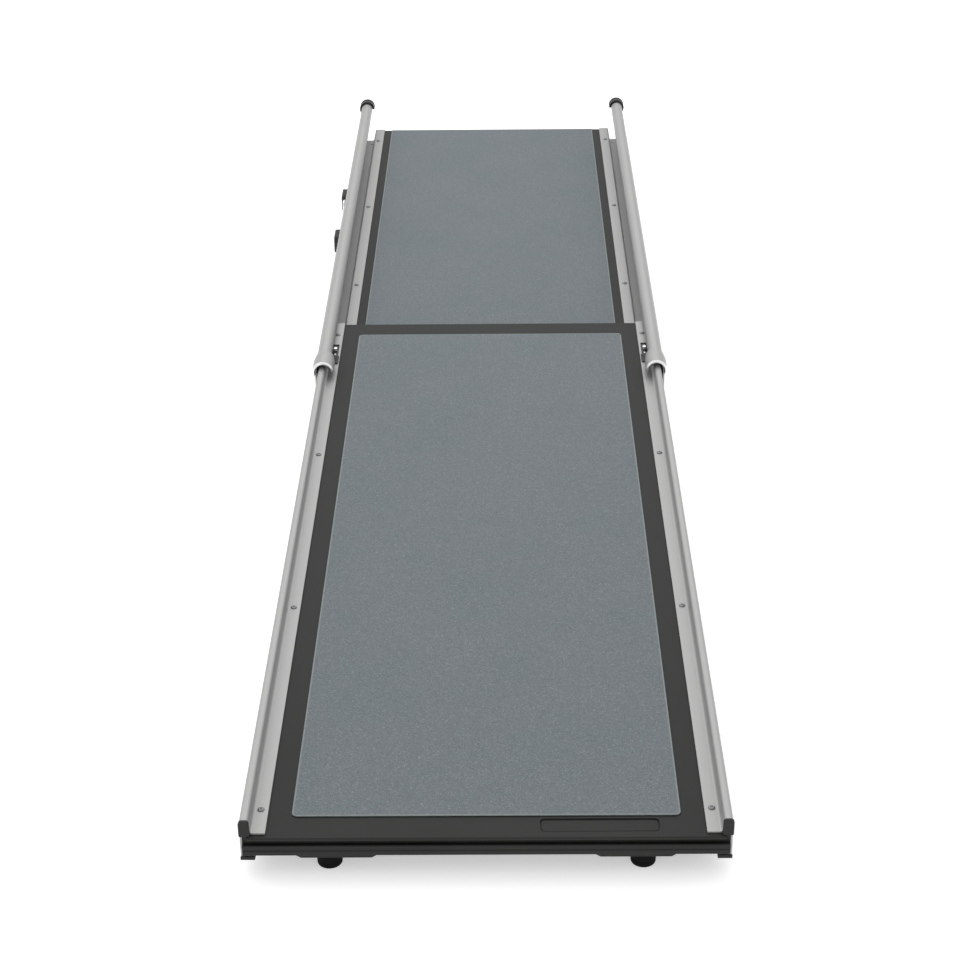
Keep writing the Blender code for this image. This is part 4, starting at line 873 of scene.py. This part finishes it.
def toe_cap():
    """Moulding under the nose: two bands with a crease, a pad round each front foot."""
    low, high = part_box("toe_cap")
    base = low.z + PAD_DROP
    face = low.y
    crease = (high.z + base) / 2
    corners = [
        (face, base),
        (face, crease - TOE_CREASE),
        (face + TOE_CREASE, crease),
        (face, crease + TOE_CREASE),
        (face, high.z),
        (face + TOE_WALL, high.z),
        (face + TOE_WALL, base + TOE_PLATE),
        (high.y, base + TOE_PLATE),
        (high.y, base),
    ]
    outline = rounded(corners, [TOE_ROUND, TOE_CREASE_ROUND, TOE_CREASE_ROUND / 2, TOE_CREASE_ROUND,
                                TOE_ROUND, TOE_CREASE_ROUND, TOE_FILLET, 0, 0])
    cap = prism("toe", outline, "X", low.x, high.x)
    for word, side in SIDES.items():
        carve(cap, block("side", (side * (INBOARD - TOE_SIDE_GAP), LOWER_FRONT + TOE_SIDE_DEPTH,
                                  base - TOE_PLATE),
                         (side * HALF_WIDTH, high.y + TOE_WALL, base + 2 * TOE_PLATE)))
        centre = middle("lower_foot_" + word).x - side * PAD_HALF / 4
        pad = rounded([
            (centre - PAD_HALF - PAD_SLOPE, base + TOE_PLATE / 2),
            (centre - PAD_HALF - PAD_SLOPE, base),
            (centre - PAD_HALF, base - PAD_DROP),
            (centre + PAD_HALF, base - PAD_DROP),
            (centre + PAD_HALF + PAD_SLOPE, base),
            (centre + PAD_HALF + PAD_SLOPE, base + TOE_PLATE / 2),
        ], [0, PAD_ROUND, PAD_ROUND, PAD_ROUND, PAD_ROUND, 0])
        carve(cap, prism("pad", pad, "Y", face + TOE_CREASE, high.y - TOE_CREASE), "UNION")
    dress(soften(cap, EDGE, angle=50), "toe_cap", BLACK)


def upper_end_cap():
    """Moulding on the upper deck's far edge."""
    low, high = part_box("upper_end_cap")
    dress(soften(block("cap", low, high), FAR_CAP_EDGE, 3), "upper_end_cap", BLACK)


# Small mouldings

def rib_end_cap(word, side):
    """Rounded cap on the front end of a lower rail's rib."""
    low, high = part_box("rib_end_cap_" + word)
    inner, outer = across(low, high)
    lean = (RIB_FOOT - RIB_TOP) / 2
    face = rounded([(outer, low.z), (outer, high.z), (inner + lean, high.z), (inner, low.z)],
                   [RIB_CAP_CORNER / 2, RIB_CAP_CORNER, RIB_CAP_CORNER, RIB_CAP_CORNER / 2], steps=8)
    cap = prism("cap", on_side(face, side), "Y", low.y, LOWER_FRONT - GAP)
    plug = block("plug", (side * (HALF_WIDTH - RIB_TOP + WALL), low.y + WALL, DECK_Z + 2 * WALL),
                 (side * (HALF_WIDTH - WALL - GAP), high.y, DECK_Z + RIB_HEIGHT - WALL - 2 * GAP))
    carve(cap, plug, "UNION")
    dress(soften(cap, RIB_CAP_EDGE, 3, 50), "rib_end_cap_" + word, BLACK)


def rear_shoe(word, side):
    """Glide under and beside the lower rail's rear end."""
    low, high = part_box("rear_glide_shoe_" + word)
    inner, outer = across(low, high)
    lip = LIP_BASE - GAP
    outline = [(inner, low.z), (outer, low.z), (outer, high.z), (HALF_WIDTH + GAP, high.z),
               (HALF_WIDTH + GAP, lip), (inner, lip)]
    outline = rounded(outline, [SHOE_CORNER, SHOE_HEEL, SHOE_TAB, EDGE, 0, EDGE])
    shoe = prism("shoe", on_side(outline, side), "Y", low.y, high.y)
    dress(soften(shoe, EDGE, angle=50), "rear_glide_shoe_" + word, BLACK)


def front_shoe(word, side):
    """Skid on the front end of the foot lip."""
    low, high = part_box("front_glide_shoe_" + word)
    lip = LIP_BASE - GAP
    face = LOWER_FRONT - GAP
    outline = [(low.y, low.z), (high.y, low.z), (high.y, lip), (face, lip), (face, high.z),
               (low.y, high.z)]
    outline = rounded(outline, [SHOE_SOLE, SHOE_SOLE, EDGE, 0, EDGE, SHOE_CORNER])
    shoe = prism("shoe", outline, "X", low.x, high.x)
    dress(soften(shoe, EDGE, angle=50), "front_glide_shoe_" + word, BLACK)


def thumb_tab(side, top):
    """Ridged thumb tab at the near end of a lock's housing."""
    tab = rounded_box(PIN.x - TAB_HALF, PIN.x + WINDOW_HALF - GAP, PIN.y - TAB_NEAR, PIN.y - TAB_FAR,
                      2 * WINDOW_CORNER)
    thumb = prism("tab", on_side(tab, side), "Z", DECK_Z + GAP, top)
    soften(thumb, TAB_EDGE, 3)
    pitch = (TAB_NEAR - TAB_FAR) / (TAB_GROOVES + 2)
    for i in range(TAB_GROOVES):
        y = PIN.y - TAB_NEAR + pitch * (i + 1.5)
        groove = arc((y, top + TAB_GROOVE_RISE), TAB_GROOVE_RADIUS, 180, 360, 8)
        carve(thumb, prism("groove", groove, "X", side * (PIN.x - TAB_HALF - WALL),
                           side * (PIN.x + WINDOW_HALF + WALL)))
    return thumb


def lock_bezel(word, side):
    """Lock housing in the flange's window: recess, pin sleeve and ridged thumb tab."""
    low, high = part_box("lock_bezel_" + word)
    floor_base = deck_high.z + GAP
    near, far = PIN.y - WINDOW_NEAR, PIN.y + WINDOW_FAR
    rim = rounded_box(PIN.x - WINDOW_HALF + GAP, PIN.x + WINDOW_HALF - GAP, near + GAP, far - GAP,
                      WINDOW_CORNER)
    bezel = prism("bezel", on_side(rim, side), "Z", floor_base, DECK_Z + EDGE)
    recess = rounded_box(PIN.x - WINDOW_HALF + BEZEL_WALL, PIN.x + WINDOW_HALF - BEZEL_WALL,
                         PIN.y - TAB_FAR + BEZEL_WALL, far - BEZEL_WALL, WINDOW_CORNER)
    carve(bezel, prism("recess", on_side(recess, side), "Z", DECK_Z - BEZEL_DEPTH, DECK_Z + BEZEL_DEPTH))
    soften(bezel, BEZEL_EDGE)
    carve(bezel, thumb_tab(side, high.z), "UNION")
    world = Matrix.Translation((side * PIN.x, PIN.y, 0))
    bore = PIN_RADIUS + GAP
    sleeve = [(bore, DECK_Z - BEZEL_DEPTH), (BEZEL_SLEEVE, floor_base + 2 * GAP), (BEZEL_SLEEVE, low.z),
              (bore, low.z), (bore, DECK_Z - BEZEL_DEPTH)]
    carve(bezel, turned("sleeve", sleeve, world, 32), "UNION")
    carve(bezel, rod("bore", bore, DECK_Z, low.z - SKIN, world))
    dress(bezel, "lock_bezel_" + word, LOCK)


# Fasteners and feet

def lock_pin(node):
    """Bright domed push pin with a rolled edge."""
    low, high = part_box(node)
    top = high.z - low.z
    head = (high.x - low.x) / 2
    seat = top - PIN_HEAD
    profile = [(head * share, top - drop) for share, drop in PIN_DOME]
    profile += arc((head - PIN_ROLL, seat + PIN_ROLL), PIN_ROLL, 75, -90, 8)
    profile += [(PIN_RADIUS, seat), (PIN_RADIUS, PIN_TIP), (PIN_RADIUS - PIN_TIP, 0), (0, 0)]
    dress(turned("pin", profile, upright(node), 48), node, STEEL)


def rivet(node):
    """Domed rivet with the dimple that its mandrel leaves."""
    low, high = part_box(node)
    top = high.z - low.z
    rise = high.z - (DECK_Z if node.startswith("lower") else UPPER_FLANGE_Z)
    seat = top - rise + GAP
    profile = [(radius, top - drop) for radius, drop in RIVET_DIMPLE]
    profile += [(RIVET_HEAD * math.sin(angle), seat + rise * math.cos(angle) * RIVET_CROWN)
                for angle in RIVET_DOME]
    profile += [(RIVET_HEAD, seat), (SCREW_SHANK, seat), (SCREW_SHANK, 0), (0, 0)]
    dress(turned("rivet", profile, upright(node), 32), node, RIVET)


def cross_recess(screw, node, face, head, depth):
    """Cut a cross recess into a screw's head, which ends at a height, face."""
    centre = middle(node)
    long, short = head * CROSS_REACH, head * CROSS_HALF
    for dx, dy in ((long, short), (short, long)):
        carve(screw, block("slot", (centre.x - dx, centre.y - dy, face - depth),
                           (centre.x + dx, centre.y + dy, face + depth)))
    return screw


def lock_screw(node):
    """Small domed screw beside the lock pin."""
    low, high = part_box(node)
    top = high.z - low.z
    head = (high.x - low.x) / 2
    profile = [(head * share, top - drop) for share, drop in LOCK_SCREW_DOME]
    profile += [(head / 2, profile[-1][1]), (head / 2, 0), (0, 0)]
    screw = turned("screw", profile, upright(node), 32)
    dress(cross_recess(screw, node, high.z, head, LOCK_SCREW_RECESS), node, STEEL)


def foot_screw(node):
    """Pan head screw up through a foot."""
    low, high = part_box(node)
    top = high.z - low.z
    head = (high.x - low.x) / 2
    profile = [(0, top), (SCREW_SHANK - SCREW_TIP / 2, top), (SCREW_SHANK, top - SCREW_TIP),
               (SCREW_SHANK, SCREW_HEAD), (head, SCREW_HEAD)]
    profile += arc((head - SCREW_HEAD_ROUND, SCREW_HEAD_ROUND), SCREW_HEAD_ROUND, 0, -90, 5) + [(0, 0)]
    screw = turned("screw", profile, upright(node), 40)
    dress(cross_recess(screw, node, low.z, head, FOOT_SCREW_RECESS), node, STEEL)


def foot(node, bore_depth):
    """Round rubber foot with a moulded ring groove and a counterbore."""
    low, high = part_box(node)
    radius = (high.x - low.x) / 2
    height = high.z - low.z
    hole = SCREW_SHANK + GAP
    profile = [(hole, height), (radius - FOOT_EDGE, height), (radius, height - FOOT_EDGE)]
    if height > RINGED_FOOT:
        profile += zip((radius, radius - FOOT_EDGE, radius - FOOT_EDGE, radius), FOOT_RING)
    profile += arc((radius - FOOT_ROUND, FOOT_ROUND), FOOT_ROUND, 0, -90, 8)
    profile += [(FOOT_BORE + FOOT_EDGE, 0), (FOOT_BORE, FOOT_EDGE), (FOOT_BORE, bore_depth),
                (hole, bore_depth), (hole, height)]
    dress(turned("foot", profile, upright(node), 72), node, RUBBER)


# Collars, caps and stops of the tubes

def guide_collar(word, side):
    """Flared collar on a tube's near end, open below."""
    low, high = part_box("guide_collar_" + word)
    place_x = side * (TUBE_X - COLLAR_INSET)
    place_z = TUBE_Z + COLLAR_RISE
    length = high.y - low.y
    drop, slope = COLLAR_SHOULDER
    profile = [(0, length), (COLLAR_TAIL - COLLAR_ROUND, length), (COLLAR_TAIL, length - COLLAR_ROUND),
               (COLLAR_RADIUS - drop, COLLAR_BODY + slope), (COLLAR_RADIUS, COLLAR_BODY),
               (COLLAR_RADIUS, COLLAR_BEVEL), (COLLAR_RADIUS - COLLAR_BEVEL, 0), (0, 0)]
    collar = turned("collar", profile, along_ramp(place_x, low.y, place_z), 96)
    mouth = COLLAR_RADIUS - COLLAR_LIP
    wide = mouth + COLLAR_MOUTH_EDGE
    recess = [(0, COLLAR_MOUTH), (mouth - COLLAR_ROUND, COLLAR_MOUTH), (mouth, COLLAR_MOUTH - COLLAR_ROUND),
              (mouth, COLLAR_MOUTH_EDGE), (wide, 0), (wide, -COLLAR_ROUND), (0, -COLLAR_ROUND)]
    carve(collar, turned("mouth", recess, along_ramp(place_x, low.y, place_z - COLLAR_SAG), 96))
    carve(collar, rod("bore", TUBE_BORE, 2 * length, -length, along_ramp(side * TUBE_X, low.y, TUBE_Z), 96))
    carve(collar, block("opening", (side * INBOARD, low.y - length, 0),
                        (side * (WALL_OUTER + GAP), high.y + length, TUBE_Z)))
    soften(collar, EDGE, angle=40)
    dress(collar, "guide_collar_" + word, ALUMINIUM, RIM_HIGHLIGHT_METAL)
    # Rim faces at the mouth that turn down the ramp get the lighter metal: a painted highlight
    for polygon in collar.data.polygons:
        at_mouth = polygon.center.y < low.y + COLLAR_BEVEL + EDGE
        polygon.material_index = int(at_mouth and polygon.normal.y < HIGHLIGHT_FACING)


def tube_end_cap(word, side):
    """Plastic cap over a tube's far end: a grooved sleeve and a rounded disc, open below."""
    low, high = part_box("tube_end_cap_" + word)
    radius = high.z - TUBE_Z
    sleeve = low.y - UPPER_FAR
    top = high.y - UPPER_FAR
    world = along_ramp(side * TUBE_X, UPPER_FAR, TUBE_Z)
    root = radius - CAP_GROOVE_DEPTH
    profile = [(0, top)] + arc((radius - CAP_ROUND, top - CAP_ROUND), CAP_ROUND, 90, 0, 8)
    profile += zip((radius, root, root, radius), CAP_GROOVE)
    profile += [(radius, sleeve + CAP_MOUTH_EDGE), (radius - CAP_MOUTH_EDGE, sleeve), (0, sleeve)]
    cap = turned("cap", profile, world, 80)
    carve(cap, rod("bore", TUBE_BORE, GAP, 2 * sleeve, world, 80))
    carve(cap, block("slot", (side * INBOARD, UPPER_FAR + 2 * sleeve, 0),
                     (side * (WALL_OUTER + GAP), UPPER_FAR + GAP, TUBE_Z)))
    carve(cap, block("opening", (side * INBOARD, UPPER_FAR + GAP / 2, 0),
                     (side * TUBE_X, UPPER_FAR + 2 * CAP_DISC, TUBE_Z)))
    dress(soften(cap, EDGE, angle=45), "tube_end_cap_" + word, BLACK)


def travel_stop(word, side):
    """Screw through the channel wall with a socket in its head."""
    low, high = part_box("travel_stop_" + word)
    centre = (low + high) / 2
    head = (high.z - low.z) / 2
    outward = Matrix.Rotation(side * math.pi / 2, 4, "Y")
    world = Matrix.Translation((side * WALL_OUTER, centre.y, centre.z)) @ outward
    inner, reach = (distance - WALL_OUTER for distance in across(low, high))
    boss = inner + STOP_BOSS_LENGTH
    profile = [(head * share, reach - drop) for share, drop in STOP_DOME]
    profile += [(head, GAP), (STOP_SHANK, GAP), (STOP_SHANK, boss), (STOP_BOSS, boss),
                (STOP_BOSS, inner + STOP_EDGE), (STOP_BOSS - STOP_EDGE, inner), (0, inner)]
    stop = turned("stop", profile, world, 48)
    socket = [(0, reach + WALL), (STOP_SOCKET, reach + WALL), (STOP_SOCKET, reach - STOP_SOCKET_DEPTH),
              (0, reach - STOP_SOCKET_TIP)]
    carve(stop, turned("socket", socket, world, 6))
    dress(stop, "travel_stop_" + word, STEEL)


# Carry handle

def handle_bracket(word, direction):
    """Moulded bracket on the channel's wall, bored for the bail."""
    node = "handle_bracket_" + word
    low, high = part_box(node)
    outline = rounded_box(low.y, high.y, low.z, high.z, BRACKET_CORNER, 10)
    bracket = prism("bracket", outline, "X", low.x, high.x)
    soften(bracket, BRACKET_ROUND, 5, 60)
    pivot_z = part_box("handle_bail")[1].z - BAIL_RADIUS
    face = high.y if direction < 0 else low.y
    depth = BAIL_TRUNNION + GAP
    world = along_ramp(middle("handle_bail").x, face, pivot_z)
    carve(bracket, rod("bore", BAIL_RADIUS + GAP, depth, -depth, world))
    dress(bracket, node, SOFT_BLACK)


def handle_bail():
    """Bent steel rod between the brackets."""
    low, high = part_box("handle_bail")
    centre = (low + high) / 2
    pivot_z = high.z - BAIL_RADIUS
    bar_z = low.z + BAIL_RADIUS
    end = (high.y - low.y) / 2
    arm = end - BAIL_TRUNNION - BAIL_SHOULDER
    corners = [(-end, pivot_z), (-arm, pivot_z), (-arm, bar_z), (arm, bar_z), (arm, pivot_z),
               (end, pivot_z)]
    path = rounded(corners, [0, BAIL_BEND, BAIL_BEND, BAIL_BEND, BAIL_BEND, 0], steps=12, closed=False)
    curve = bpy.data.curves.new("bail", "CURVE")
    curve.dimensions = "3D"
    curve.bevel_depth = BAIL_RADIUS
    curve.bevel_resolution = 6
    curve.use_fill_caps = True
    spline = curve.splines.new("POLY")
    spline.points.add(len(path) - 1)
    for point, (y, z) in zip(spline.points, path):
        point.co = (centre.x, centre.y + y, z, 1)
    guide = bpy.data.objects.new("bail_curve", curve)
    bpy.context.scene.collection.objects.link(guide)
    depsgraph = bpy.context.evaluated_depsgraph_get()
    form = bmesh.new()
    form.from_mesh(guide.evaluated_get(depsgraph).to_mesh())
    bmesh.ops.remove_doubles(form, verts=form.verts, dist=SAME_POINT)
    bail = solid("bail", form)
    bpy.data.objects.remove(guide, do_unlink=True)
    dress(bail, "handle_bail", STEEL)


def squared(value):
    """A sine or cosine whose curve is drawn towards a square."""
    return math.copysign(abs(value) ** GRIP_SQUARENESS, value)


def handle_grip():
    """Soft grip with finger hollows on its outer side and rounded ends."""
    low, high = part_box("handle_grip")
    centre = (low + high) / 2
    half = (high.y - low.y) / 2
    thick = (high.x - low.x) / 2
    wide = (high.z - low.z) / 2
    form = bmesh.new()
    loops = []
    for i in range(GRIP_RINGS + 1):
        share = 2 * i / GRIP_RINGS - 1
        past = max(0.0, (abs(share) - (1 - GRIP_END)) / GRIP_END)
        end = 1 - past ** 2 * GRIP_END_DROP
        hollow = GRIP_HOLLOW * (0.5 - 0.5 * math.cos(2 * math.pi * GRIP_FINGERS * (share + 1) / 2)) * end
        loop = []
        for j in range(GRIP_POINTS):
            angle = 2 * math.pi * j / GRIP_POINTS
            x = squared(math.cos(angle)) * thick * end
            z = squared(math.sin(angle)) * wide * end
            outer = max(0.0, -math.cos(angle))
            loop.append(form.verts.new((centre.x + x * (1 - hollow * outer), centre.y + share * half,
                                        centre.z + z)))
        loops.append(loop)
    for first, second in zip(loops, loops[1:]):
        for j in range(GRIP_POINTS):
            k = (j + 1) % GRIP_POINTS
            form.faces.new((first[j], first[k], second[k], second[j]))
    form.faces.new(loops[0])
    form.faces.new(loops[-1][::-1])
    grip = solid("grip", form)
    world = along_ramp(centre.x, centre.y, centre.z)
    carve(grip, rod("bore", BAIL_RADIUS + GAP, 2 * half, -2 * half, world))
    dress(grip, "handle_grip", SOFT_BLACK)


make_camera()
make_studio()
lower_deck()
upper_deck()
grip_sheet("lower_grip_sheet", LOWER_SHEET_CORNER)
grip_sheet("upper_grip_sheet", UPPER_SHEET_CORNER)
toe_cap()
upper_end_cap()
for word, side in SIDES.items():
    lower_rail(word, side)
    upper_rail(word, side)
    rib_end_cap(word, side)
    rear_shoe(word, side)
    front_shoe(word, side)
    lock_bezel(word, side)
    lock_pin("lock_pin_" + word)
    lock_screw("lock_screw_" + word)
    guide_collar(word, side)
    tube_end_cap(word, side)
    travel_stop(word, side)
    for section, bore_depth in FOOT_BORE_DEPTHS.items():
        foot("%s_foot_%s" % (section, word), bore_depth)
        foot_screw("%s_foot_screw_%s" % (section, word))
        for number in range(1, RIVETS + 1):
            rivet("%s_rivet_%s_%d" % (section, word, number))
handle_bracket("near", -1)
handle_bracket("far", 1)
handle_bail()
handle_grip()
